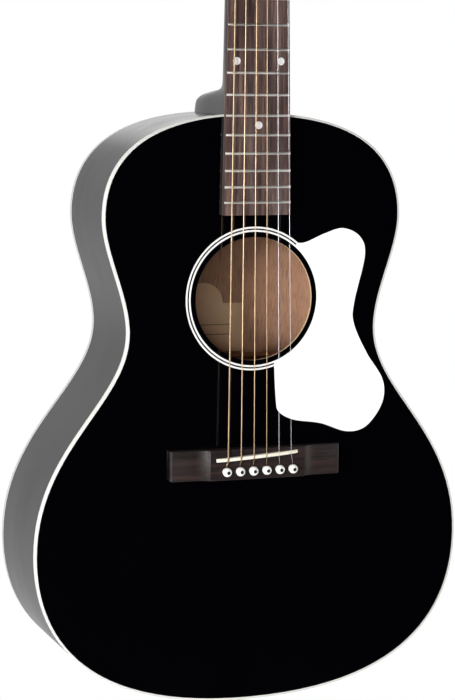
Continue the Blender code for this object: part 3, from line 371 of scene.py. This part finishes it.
def loft(rings, bm=None, closed=False, caps=True):
    """Skins rings of points; a closed loft joins its last ring to its first."""
    bm = bm or bmesh.new()
    rows = [[bm.verts.new(point) for point in ring] for ring in rings]
    pairs = list(zip(rows, rows[1:]))
    if closed:
        pairs.append((rows[-1], rows[0]))
    for low, high in pairs:
        count = len(low)
        for i in range(count):
            j = (i + 1) % count
            bm.faces.new((low[i], low[j], high[j], high[i]))
    if not closed and caps:
        bm.faces.new(rows[0])
        bm.faces.new(rows[-1])
    return bm


def slab(outline, front, back, bm=None):
    """Solid between two depths over an outline of (x, z)."""
    return loft([[(x, depth, z) for x, z in outline] for depth in (front, back)], bm)


def extrude(outline, low, high, bm=None):
    """Solid over an outline of (x, y), from one height to another."""
    return loft([[(x, y, z) for x, y in outline] for z in (low, high)], bm)


def circle(radius, sides, centre=(0.0, 0.0)):
    turns = [2 * math.pi * i / sides for i in range(sides)]
    return [(centre[0] + radius * math.cos(a), centre[1] + radius * math.sin(a)) for a in turns]


def turned(profile, sides, bm=None):
    """Solid of revolution about z through (radius, z) pairs, with flat ends."""
    return loft([[(x, y, z) for x, y in circle(radius, sides)] for radius, z in profile], bm)


def box(low, high, bm=None):
    outline = [(low[0], low[1]), (high[0], low[1]), (high[0], high[1]), (low[0], high[1])]
    return extrude(outline, low[2], high[2], bm)


def tube(points, radii, sides, bm=None):
    """Round solid along a path, with one radius for each point."""
    points = [Vector(p) for p in points]
    rings = []
    side = Vector((1.0, 0.0, 0.0))
    for i, point in enumerate(points):
        along = (points[min(i + 1, len(points) - 1)] - points[max(i - 1, 0)]).normalized()
        if abs(along.dot(side)) > 0.99:
            side = Vector((0.0, 0.0, 1.0))
        side = (side - along * side.dot(along)).normalized()
        up = along.cross(side)
        rings.append([point + side * x + up * y for x, y in circle(radii[i], sides)])
    return loft(rings, bm)


def smooth_curve(points, steps):
    """Catmull-Rom curve through points, with a few steps to each span."""
    count = len(points)
    curve = []
    for i in range(count - 1):
        a, b, c, d = (Vector(points[min(max(i + k, 0), count - 1)]) for k in (-1, 0, 1, 2))
        for step in range(steps):
            t = step / steps
            curve.append(tuple(0.5 * (2 * b + (c - a) * t + (2 * a - 5 * b + 4 * c - d) * t ** 2
                                      + (3 * b - 3 * c + d - a) * t ** 3)))
    return curve + [tuple(points[-1])]


# ---------------------------------------------------------------- body box

def rim(t, offset=0.0):
    """Point (x, z) of the treble half-outline at t, 0 at the tail to 4 at the neck, moved outwards."""
    index = min(int(t), 3)
    a, b, c, d = (Vector(p) for p in HALF_OUTLINE[index])
    u = t - index
    v = 1 - u
    point = a * v ** 3 + b * 3 * u * v ** 2 + c * 3 * v * u ** 2 + d * u ** 3
    along = (b - a) * v ** 2 + (c - b) * 2 * u * v + (d - c) * u ** 2
    along.normalize()
    return point.x + along.y * offset, point.y - along.x * offset


def half_rim(offset):
    return [rim(k / CURVE_STEPS, offset) for k in range(4 * CURVE_STEPS + 1)]


def full_rim(offset):
    treble = half_rim(offset)
    return treble + [(-x, z) for x, z in treble[-2:0:-1]]


def side_depth(z):
    return TAIL_DEPTH - DEPTH_TAPER * z


def rim_band(sections):
    """Band round the whole rim; sections(z) gives (offset, depth) corners for each height."""
    rims = {}
    count = len(full_rim(0.0))
    rings = []
    for i in range(count):
        corners = []
        for offset, depth in sections(0.0):
            rims.setdefault(offset, full_rim(offset))
        for k, (offset, _) in enumerate(sections(0.0)):
            x, z = rims[offset][i]
            corners.append((x, sections(z)[k][1], z))
        rings.append(corners)
    return loft(rings, closed=True)


def make_soundboard():
    board = piece("soundboard_face", slab(full_rim(-HAIRLINE), 0.0, TOP_THICK), "black_gloss",
                  replaces=("soundboard",), more=("spruce",))
    cut(board, slab(circle(HOLE_RADIUS, 128, (0, HOLE_Z)), -0.01, 0.01), material="spruce")
    for polygon in board.data.polygons:
        if polygon.normal.y > 0.9:
            polygon.material_index = 1


def make_rosette():
    """Two white rings let into the top with a thin dark line between them."""
    bands = (("rosette_outer_ring", 0.0578, 0.0593), ("rosette_inner_ring", 0.0551, 0.0566))
    for name, inside, outside in bands:
        rings = []
        for step in range(160):
            a = 2 * math.pi * step / 160
            corners = ((inside, -0.00003), (outside, -0.00003), (outside, 0.0003), (inside, 0.0003))
            rings.append([(r * math.cos(a), y, HOLE_Z + r * math.sin(a)) for r, y in corners])
        piece(name, loft(rings, closed=True), "rosette", replaces=("rosette",))


def make_sides():
    front = BINDING_DEEP + HAIRLINE
    out, inner = BINDING_WIDE, BINDING_WIDE - SIDE_THICK

    def corners(z):
        back = side_depth(z) - front
        return ((out, front), (out, back), (inner, back), (inner, front))

    piece("sides", rim_band(corners), "black_satin", replaces=("bass_side", "treble_side"), angle=50,
          more=("mahogany",))


def make_bindings():
    out = BINDING_WIDE

    def top(z):
        return ((out - 0.0004, 0.0), (out, 0.0004), (out, BINDING_DEEP), (0.0, BINDING_DEEP), (0.0, 0.0))

    def back(z):
        deep = side_depth(z)
        return ((out, deep - BINDING_DEEP), (out, deep - 0.0004), (out - 0.0004, deep), (0.0, deep),
                (0.0, deep - BINDING_DEEP))

    piece("top_binding_strip", rim_band(top), "binding", replaces=("top_binding",), angle=60)
    piece("back_binding_strip", rim_band(back), "binding", replaces=("back_binding",), angle=60)


def make_back():
    columns = [math.cos(math.pi * k / 16) for k in range(17)]
    rows = []
    for half, z in half_rim(-HAIRLINE)[2:-2]:
        arch = [max(half * half * (1 - c * c), 0.0) / (2 * BACK_ARCH_RADIUS) + side_depth(z) for c in columns]
        outer = [(half * c, y, z) for c, y in zip(columns, arch)]
        inner = [(x, y - BACK_THICK, z) for x, y, z in reversed(outer)]
        rows.append(outer + inner)
    back = piece("back_plate_fine", loft(rows), "black_satin", replaces=("back_plate",), more=("mahogany",))
    for polygon in back.data.polygons:
        if polygon.normal.y < -0.9:
            polygon.material_index = 1


def make_label():
    """Arched paper label with two blank ruled lines, glued inside on the back."""
    left, right, low, high, crown = -0.030, 0.027, 0.2795, 0.322, 0.340
    arch = [((left + right) / 2 + 0.018 * math.cos(a) - 0.008, high + (crown - high) * math.sin(a))
            for a in (math.pi * k / 16 for k in range(17))]
    outline = [(left, low), (right, low), (right, high)] + arch + [(left, high)]
    depth = side_depth(0.31) - BACK_THICK + 0.0008

    def at(x, z):
        return depth - DEPTH_TAPER * (z - 0.31)
    bm = loft([[(x, at(x, z) + step, z) for x, z in outline] for step in (-0.0003, 0.0)])
    piece("label", bm, "paper")
    for row, z in enumerate((0.303, 0.2945)):
        y = at(0, z) - 0.0004
        line = box((left + 0.006, y, z), (right - 0.010, y + 0.0003, z + 0.0006))
        piece(f"label_line_{row + 1}", line, "ink")


GUARD_EDGE = ((0.037, 0.3815), (0.045, 0.382), (0.062, 0.389), (0.078, 0.393), (0.093, 0.386),
              (0.098, 0.370), (0.089, 0.331), (0.089, 0.313), (0.101, 0.288), (0.116, 0.265),
              (0.116, 0.245), (0.102, 0.226), (0.084, 0.222), (0.060, 0.230), (0.036, 0.234),
              (0.023, 0.241), (0.020, 0.251), (0.018, 0.283))


def make_pickguard():
    edge = smooth_curve(GUARD_EDGE, 10)
    start, end = math.radians(-70.5), math.radians(50.0)
    arc = []
    for k in range(41):
        a = start + (end - start) * k / 40
        arc.append((GUARD_ARC_RADIUS * math.cos(a), HOLE_Z + GUARD_ARC_RADIUS * math.sin(a)))
    plate = slab(edge + arc, -GUARD_THICK - 0.0001, -0.0001)
    piece("pickguard_plate", plate, "guard", replaces=("pickguard",), bevel=0.0003)


# ---------------------------------------------------------------- neck

def neck_top(z):
    return NECK_SLOPE * (z - FRET_14_Z)


def fret_z(number):
    return FRET_14_Z + SCALE * (2 ** (-number / 12) - 2 ** (-14 / 12))


def board_half(z):
    return BOARD_HALF_14 + (NUT_HALF - BOARD_HALF_14) * (z - FRET_14_Z) / (fret_z(0) - FRET_14_Z)


def board_top(x, z):
    return BOARD_Y + neck_top(z) + x * x / (2 * BOARD_ARCH)


def head_frame(s=0.0, x=0.0):
    """Placing whose x runs across the headstock, y up its face and z out of its face."""
    up = Vector((0, math.sin(HEAD_TILT), math.cos(HEAD_TILT)))
    out = Vector((0, -math.cos(HEAD_TILT), math.sin(HEAD_TILT)))
    start_z = fret_z(0) + NUT_LONG + 0.0006
    origin = Vector((x, neck_top(start_z), start_z)) + up * s
    return Matrix.Translation(origin) @ Matrix((Vector((1, 0, 0)), up, out)).transposed().to_4x4()


def make_fretboard():
    stations = [BOARD_END_Z, JOINT_Z - 0.0002, JOINT_Z]
    stations += [JOINT_Z + (fret_z(0) - JOINT_Z) * k / 12 for k in range(1, 13)]
    rings = []
    for z in stations:
        half = board_half(z)
        bottom = (neck_top(z) if z >= JOINT_Z else 0.0) - 0.0001
        across = [-1 + 2 * k / 16 for k in range(17)]
        top = [(half * c, board_top(half * c, z), z) for c in across]
        rings.append(top + [(half, bottom, z), (-half, bottom, z)])
    piece("fretboard_wood", loft(rings), "board", replaces=("fretboard",), bevel=0.0002)
    for number in range(1, 20):
        make_fret(number)
    dot_rows = {3: (0,), 5: (0,), 7: (0,), 9: (0,), 12: (-0.019, 0.019), 15: (0,)}
    for number, places in dot_rows.items():
        z = (fret_z(number) + fret_z(number - 1)) / 2
        for k, x in enumerate(places):
            rim = circle(0.0031, 32, (x, z))
            faces = [[(px, board_top(px, pz) + lift, pz) for px, pz in rim]
                     for lift in (-0.00012, 0.0010)]
            disc = loft(faces)
            piece(f"dot_{number}_{k + 1}", disc, "pearl")


def make_fret(number):
    """Half-round fret wire that follows the board's arch, its ends bevelled."""
    z = fret_z(number)
    half = board_half(z)
    rings = []
    for k in range(15):
        x = half * (-1 + 2 * k / 14)
        ends = 0.45 if k in (0, 14) else 1.0
        section = [(z - 0.0011, 0.0)] + [(z - 0.0011 * math.cos(a), -0.0010 * ends * math.sin(a) ** 0.8)
                                         for a in (math.pi * j / 8 for j in range(1, 8))] + [(z + 0.0011, 0.0)]
        rings.append([(x, board_top(x, z) + y + 0.0001, zz) for zz, y in section])
    piece(f"fret_{number}", loft(rings), "fret", replaces=("fretboard",), angle=60)


HEEL = ((0.4855, 0.0923, 0.0259, 0.20), (0.4950, 0.0923, 0.0249, 0.22), (0.4990, 0.0918, 0.0229, 0.26),
        (0.5020, 0.0895, 0.0190, 0.32), (0.5040, 0.0840, 0.0140, 0.40),
        (0.5053, 0.0740, 0.0115, 0.45), (0.5065, 0.0610, 0.0105, 0.50),
        (0.5083, 0.0480, 0.0125, 0.55), (0.5115, 0.0365, 0.0165, 0.60),
        (0.5180, 0.0290, 0.0205, 0.65), (0.5270, 0.0240, 0.0240, 0.70))
SHAFT = ((0.5450, 0.0190), (0.6200, 0.0175), (0.7200, 0.0172), (0.8344, 0.0165))
HEAD_NECK, HEAD_SHOULDER, HEAD_CORNER, HEAD_TOP = ((0.0080, 0.0238), (0.0340, 0.0332),
                                                  (0.1450, 0.0362), (0.1775, 0.0120))


def neck_section(half, deep, back_half, roundness, top, count=41):
    """(x, depth) points round the back of the neck, from one edge of its glued face to the other."""
    points = []
    for k in range(count):
        angle = math.pi * k / (count - 1)
        down = math.sin(angle) ** (roundness + 0.1) if 0 < k < count - 1 else 0.0
        across = abs(math.cos(angle)) ** roundness if 2 * k != count - 1 else 0.0
        narrowing = half - (half - back_half) * down ** 1.5
        points.append((math.copysign(across * narrowing, math.cos(angle)), top + deep * down))
    return points


def head_outline():
    """(distance from the nut, half-width) pairs: a flare, straight sides, then a rounded top."""
    (s0, w0), (s1, w1), (s2, w2), (s3, w3) = HEAD_NECK, HEAD_SHOULDER, HEAD_CORNER, HEAD_TOP
    flare = [(s0 + (s1 - s0) * k / 10, w0 + (w1 - w0) * math.sin(math.pi * k / 20)) for k in range(10)]
    top = []
    for k in range(1, 17):
        u = math.sin(math.pi * k / 32)
        top.append((s2 + (s3 - s2) * u, w3 + (w2 - w3) * max(1 - u ** 2.6, 0.0) ** 0.4))
    return flare + [(s1, w1), (s2, w2)] + top


def make_neck():
    """Neck, heel and headstock in one piece, with its stations joined by smooth curves."""
    stations = [(z, deep, back, roundness) for z, deep, back, roundness in HEEL]
    stations += [(z, deep, board_half(z), 0.74) for z, deep in SHAFT]
    rings = []
    fine = smooth_4d(stations, 5)
    for z, deep, back_half, roundness in fine:
        section = neck_section(board_half(z), deep, back_half, roundness, neck_top(z))
        rings.append([(x, y, z) for x, y in section])
    for s, half in head_outline():
        place = head_frame(s)
        section = neck_section(half, HEAD_THICK, half, 0.06, 0.0)
        rings.append([tuple(place @ Vector((x, 0, -y))) for x, y in section])
    neck = piece("neck_wood", loft(rings), "black_satin", replaces=("neck",), angle=45, bevel=0.0006)
    upper = [(x, z) for x, z in full_rim(BINDING_WIDE + 0.0001) if z > 0.40]
    right = sorted([p for p in upper if p[0] >= 0], key=lambda p: p[0])
    body = [(-x, z) for x, z in reversed(right)] + right
    cut(neck, slab(body, -0.003, 0.12))
    cut(neck, box((-0.0052, 0.0010, -0.0112), (0.0052, 0.0200, 0.0040)), head_frame())
    holes = bmesh.new()
    for s in POST_S:
        for x in (-POST_X, POST_X):
            extrude(circle(0.0036, 24, (x, s)), -0.02, 0.005, holes)
    cut(neck, holes, head_frame())


def smooth_4d(rows, steps):
    """Catmull-Rom through rows of four numbers."""
    count = len(rows)
    fine = []
    for i in range(count - 1):
        a, b, c, d = (rows[min(max(i + k, 0), count - 1)] for k in (-1, 0, 1, 2))
        for step in range(steps):
            t = step / steps
            fine.append(tuple(0.5 * (2 * q + (r - p) * t + (2 * p - 5 * q + 4 * r - w) * t ** 2
                                     + (3 * q - 3 * r + w - p) * t ** 3) for p, q, r, w in zip(a, b, c, d)))
    return fine + [rows[-1]]


# ---------------------------------------------------------------- bridge and strings

def string_x(number, centre, span):
    return centre + span * (3.5 - number) / 5


def make_bridge():
    refined("bridge", "bridge", 0.0002, 30)
    refined("saddle", "bone", 0.0003, 50)
    profile = [(0.0014, -0.0125), (0.0019, -0.0115), (0.0023, BRIDGE_THICK + 0.0001),
               (0.0031, BRIDGE_THICK + 0.0002),
               (0.0029, BRIDGE_THICK + 0.0009)]
    for k in range(9):
        a = math.radians(-32 + 13.2 * k)
        profile.append((PIN_BALL * math.cos(a), PIN_BALL_Y + PIN_BALL * math.sin(a)))
    for number in range(1, 7):
        x = string_x(number, PIN_X, PIN_SPAN)
        place = Matrix.Translation((x, 0, PIN_Z)) @ Matrix.Rotation(math.pi / 2, 4, "X")
        body = f"bridge_pin_{number}"
        piece(f"pin_{number}", turned(profile, 32), "pin", body, (body,), place)
        crown = PIN_BALL_Y + PIN_BALL
        dot = turned([(0.0014, crown - 0.0010), (0.0015, crown - 0.00025), (0.0008, crown - 0.00002)], 24)
        piece(f"pin_dot_{number}", dot, "dot", body, (), place)


def machine_side(number):
    side = 1 if number <= 3 else -1
    return side, POST_S[number - 1] if side > 0 else POST_S[6 - number]


def with_windings(path, radii):
    """Path and radii with a rib for every turn of the wrap wire, up to the ball end."""
    fine, thick = [], []
    for (a, b), r in zip(zip(path, path[1:]), radii):
        a, b = Vector(a), Vector(b)
        ribs = 1 if r == radii[-1] else max(1, round((b - a).length / WINDING_PITCH))
        for k in range(ribs):
            fine += [a.lerp(b, k / ribs), a.lerp(b, (k + 0.5) / ribs)]
            thick += [r, r if r == radii[-1] else r * WINDING_ROOT]
    return fine + [Vector(path[-1])], thick + [radii[-1]]


def make_string(number):
    """One string from its post over the nut and the saddle down to its ball end."""
    r = STRING_RADII[number - 1]
    side, s = machine_side(number)
    on_post = head_frame(s) @ Vector((side * (POST_X - POST_WAIST - r), 0, STRING_ON_POST))
    nut_x = string_x(number, 0.0, NUT_SPAN)
    nut_z = fret_z(0) + 0.0003
    nut_y = BOARD_Y + neck_top(nut_z) - NUT_TOP + nut_x ** 2 / (2 * BOARD_ARCH) - r
    saddle_x = string_x(number, SADDLE_X + 0.0011, SADDLE_SPAN)
    local = (saddle_x - SADDLE_X) / math.cos(SADDLE_SLANT)
    saddle_z = SADDLE_Z + local * math.sin(SADDLE_SLANT)
    saddle_y = -SADDLE_TOP + local ** 2 / (2 * BOARD_ARCH) - r
    x, drop_z = string_x(number, PIN_X, PIN_SPAN), PIN_Z + STRING_AHEAD
    back_x = saddle_x + (x - saddle_x) * 0.2
    over = [(saddle_x, saddle_y, saddle_z + 0.0015), (saddle_x, saddle_y, saddle_z),
            (back_x, saddle_y + 0.0004, saddle_z - 0.0018),
            (x, -BRIDGE_THICK - 0.0017, drop_z + 0.0016), (x, -BRIDGE_THICK - 0.0004, drop_z + 0.0001),
            (x, -BRIDGE_THICK + 0.0010, drop_z), (x, 0.0061, drop_z)]
    path = [on_post, (nut_x, nut_y + 0.0003, nut_z + NUT_LONG),
            (nut_x, nut_y, nut_z + 0.0020), (nut_x, nut_y, nut_z)]
    path += smooth_curve(over, 4) + [(x, 0.0064, drop_z), (x, 0.0094, drop_z)]
    radii = [r] * (len(path) - 2) + [0.00125] * 2
    kind = "steel" if number <= 2 else "bronze"
    if kind == "bronze":
        path, radii = with_windings(path, radii)
    piece(f"string_wire_{number}", tube(path, radii, 10), kind, replaces=(f"string_{number}",))
    turns = 3.0 if number > 2 else 5.0
    pitch = min((0.0105 - STRING_ON_POST) / turns, 2.3 * r)
    steps = int(turns * 20)
    coil = []
    for k in range(steps + 1):
        a = math.pi * (0 if side < 0 else 1) - side * 2 * math.pi * k / 20
        out = POST_WAIST + r
        coil.append((out * math.cos(a), out * math.sin(a), STRING_ON_POST + pitch * k / 20))
    body = f"string_post_{number}"
    wrap = tube(coil, [r] * len(coil), 8)
    piece(f"string_wrap_{number}", wrap, kind, body, (), head_frame(s, side * POST_X))


# ---------------------------------------------------------------- headstock fittings

def make_machines():
    for name, side in (("tuner_plate_treble", 1), ("tuner_plate_bass", -1)):
        refined(name, "nickel", 0.0002)
        for k, s in enumerate((0.0205, 0.0545, 0.0925, 0.1245)):
            x = side * (POST_X + (0.0042 if k in (0, 3) else 0.0))
            make_screw(f"{name}_screw_{k + 1}", x, s, -HEAD_THICK - 0.0015, -1, 0.0022)
    for number in range(1, 7):
        side, s = machine_side(number)
        refined(f"string_post_{number}", "nickel", 0.0001, 40, f"string_post_{number}")
        refined(f"tuner_knob_{number}", "nickel", 0.0002, 45, f"tuner_knob_{number}")
        bushing = []
        for step in range(32):
            a = 2 * math.pi * step / 32
            corners = ((0.0034, 0.0001), (0.0056, 0.0001), (0.0053, 0.0012), (0.0044, 0.0018),
                       (0.0034, 0.0018))
            bushing.append([(r * math.cos(a), r * math.sin(a), z) for r, z in corners])
        piece(f"bushing_{number}", loft(bushing, closed=True), "nickel", placing=head_frame(s, side * POST_X))


def make_screw(name, x, s, seat, facing, radius):
    """Slotted round-head screw standing on a seat, facing out of the head's front (1) or back (-1)."""
    profile = [(radius, seat), (radius * 0.95, seat + facing * radius * 0.25),
               (radius * 0.7, seat + facing * radius * 0.5), (radius * 0.3, seat + facing * radius * 0.6)]
    screw = piece(name, turned(profile, 20), "nickel", placing=head_frame(s, x))
    a, b = sorted((seat + facing * radius * 0.35, seat + facing * radius))
    cut(screw, box((-radius * 1.2, -radius * 0.14, a), (radius * 1.2, radius * 0.14, b)), head_frame(s, x))


def make_headstock_face():
    refined("truss_rod_cover", "guard", 0.0003)
    for k, (x, s) in enumerate(((0, 0.0300), (-0.0095, 0.0050), (0.0095, 0.0050))):
        make_screw(f"cover_screw_{k + 1}", x, s, 0.0021, 1, 0.0016)
    refined("nut", "bone", 0.0003, 50)
    refined("truss_rod", "steel")
    refined("truss_rod_nut", "brass", 0.0003, 40, "truss_rod_nut")
    refined("heel_cap", "black_satin", 0.0010)
    refined("end_pin", "pin", 0.0002)


def make_inside():
    for node in ("x_brace_bass", "x_brace_treble", "tone_bar_1", "tone_bar_2",
                 "upper_face_brace", "bridge_plate"):
        refined(node, "spruce_x", 0.0004)
    for node in ("back_brace_1", "back_brace_2", "back_brace_3", "back_brace_4"):
        refined(node, "mahogany", 0.0006)
    for node in ("neck_block", "tail_block"):
        refined(node, "mahogany", 0.0003)
    for node in ("top_lining_bass", "top_lining_treble", "back_lining_bass", "back_lining_treble"):
        refined(node, "mahogany", 0.0003)


# ---------------------------------------------------------------- stage

def make_camera():
    """The photographed view: from the left of the guitar and a little above its middle."""
    yaw, pitch, roll = math.radians(19.778), math.radians(-7.2), math.radians(0.509)
    forward = Vector((math.sin(yaw) * math.cos(pitch), math.cos(yaw) * math.cos(pitch), math.sin(pitch)))
    level = forward.cross(Vector((0, 0, 1))).normalized()
    upright = level.cross(forward)
    right = level * math.cos(roll) + upright * math.sin(roll)
    up = upright * math.cos(roll) - level * math.sin(roll)
    data = bpy.data.cameras.new("camera")
    data.sensor_width = 36.0
    data.lens = 112.05
    camera = bpy.data.objects.new("camera", data)
    bpy.context.scene.collection.objects.link(camera)
    turn = Matrix((right, up, -forward)).transposed().to_4x4()
    camera.matrix_world = Matrix.Translation(DATUM + Vector((-0.6227, -1.6682, 0.5183))) @ turn
    bpy.context.scene.camera = camera


def make_light(name, at, aim, size, power, colour=(1, 1, 1)):
    data = bpy.data.lights.new(name, "AREA")
    data.shape = "RECTANGLE"
    data.size, data.size_y = size
    data.energy = power
    data.color = colour
    light = bpy.data.objects.new(name, data)
    bpy.context.scene.collection.objects.link(light)
    light.location = at
    light.visible_camera = False
    light.rotation_euler = (Vector(aim) - Vector(at)).to_track_quat("-Z", "Y").to_euler()


def make_world():
    """White backdrop for the camera; light comes from behind, most of it from high on the right."""
    world = bpy.data.worlds.new("studio")
    bpy.context.scene.world = world
    world.use_nodes = True
    tree = world.node_tree
    tree.nodes.clear()
    place = tree.nodes.new("ShaderNodeTexCoord")
    split = tree.nodes.new("ShaderNodeSeparateXYZ")
    tree.links.new(place.outputs["Generated"], split.inputs["Vector"])
    behind = ramp(tree, split.outputs["Y"], ((0.0, (0.0, 0.0, 0.0)), (0.25, (1.0, 1.0, 1.0))))
    glow = tree.nodes.new("ShaderNodeBackground")
    tree.links.new(behind, glow.inputs["Color"])
    lean = tree.nodes.new("ShaderNodeVectorMath")
    lean.operation = "DOT_PRODUCT"
    lean.inputs[1].default_value = (0.75, 0.0, 1.0)
    tree.links.new(place.outputs["Generated"], lean.inputs[0])
    brighter = tree.nodes.new("ShaderNodeMapRange")
    brighter.inputs["From Min"].default_value = 0.295
    brighter.inputs["From Max"].default_value = 0.43
    brighter.inputs["To Min"].default_value = 0.66
    brighter.inputs["To Max"].default_value = 1.5
    tree.links.new(lean.outputs["Value"], brighter.inputs["Value"])
    tree.links.new(brighter.outputs["Result"], glow.inputs["Strength"])
    white = tree.nodes.new("ShaderNodeBackground")
    white.inputs["Color"].default_value = (1, 1, 1, 1)
    path = tree.nodes.new("ShaderNodeLightPath")
    switch = tree.nodes.new("ShaderNodeMixShader")
    tree.links.new(path.outputs["Is Camera Ray"], switch.inputs["Fac"])
    tree.links.new(glow.outputs["Background"], switch.inputs[1])
    tree.links.new(white.outputs["Background"], switch.inputs[2])
    out = tree.nodes.new("ShaderNodeOutputWorld")
    tree.links.new(switch.outputs["Shader"], out.inputs["Surface"])


def make_floor():
    """Plain pale floor under the hanging guitar."""
    made = bpy.data.materials.new("floor")
    made.use_nodes = True
    shade = made.node_tree.nodes["Principled BSDF"]
    shade.inputs["Base Color"].default_value = (0.9, 0.9, 0.9, 1.0)
    shade.inputs["Roughness"].default_value = 0.9
    bm = bmesh.new()
    bm.faces.new([bm.verts.new((x, y, -0.30)) for x, y in circle(0.85, 64)])
    mesh = bpy.data.meshes.new("floor")
    bm.to_mesh(mesh)
    bm.free()
    mesh.materials.append(made)
    floor = bpy.data.objects.new("floor", mesh)
    bpy.context.scene.collection.objects.link(floor)


make_soundboard()
make_rosette()
make_sides()
make_bindings()
make_back()
make_label()
make_pickguard()
make_fretboard()
make_neck()
make_bridge()
for string_number in range(1, 7):
    make_string(string_number)
make_machines()
make_headstock_face()
make_inside()
make_camera()
make_world()
make_floor()
make_light("key", (-1.42, -1.42, 0.44), (0, 0, 0.34), (0.6, 0.16), 44)
make_light("camera_side_light", (-0.80, -1.90, 0.45), (0, 0, 0.34), (0.7, 0.16), 9)
make_light("left_softbox", (-1.85, -0.75, 0.45), (0, 0, 0.35), (0.6, 1.8), 14)
make_light("right_softbox", (1.85, -0.75, 0.4), (0, 0, 0.35), (0.6, 1.8), 20)
bpy.context.scene.view_settings.view_transform = "Standard"
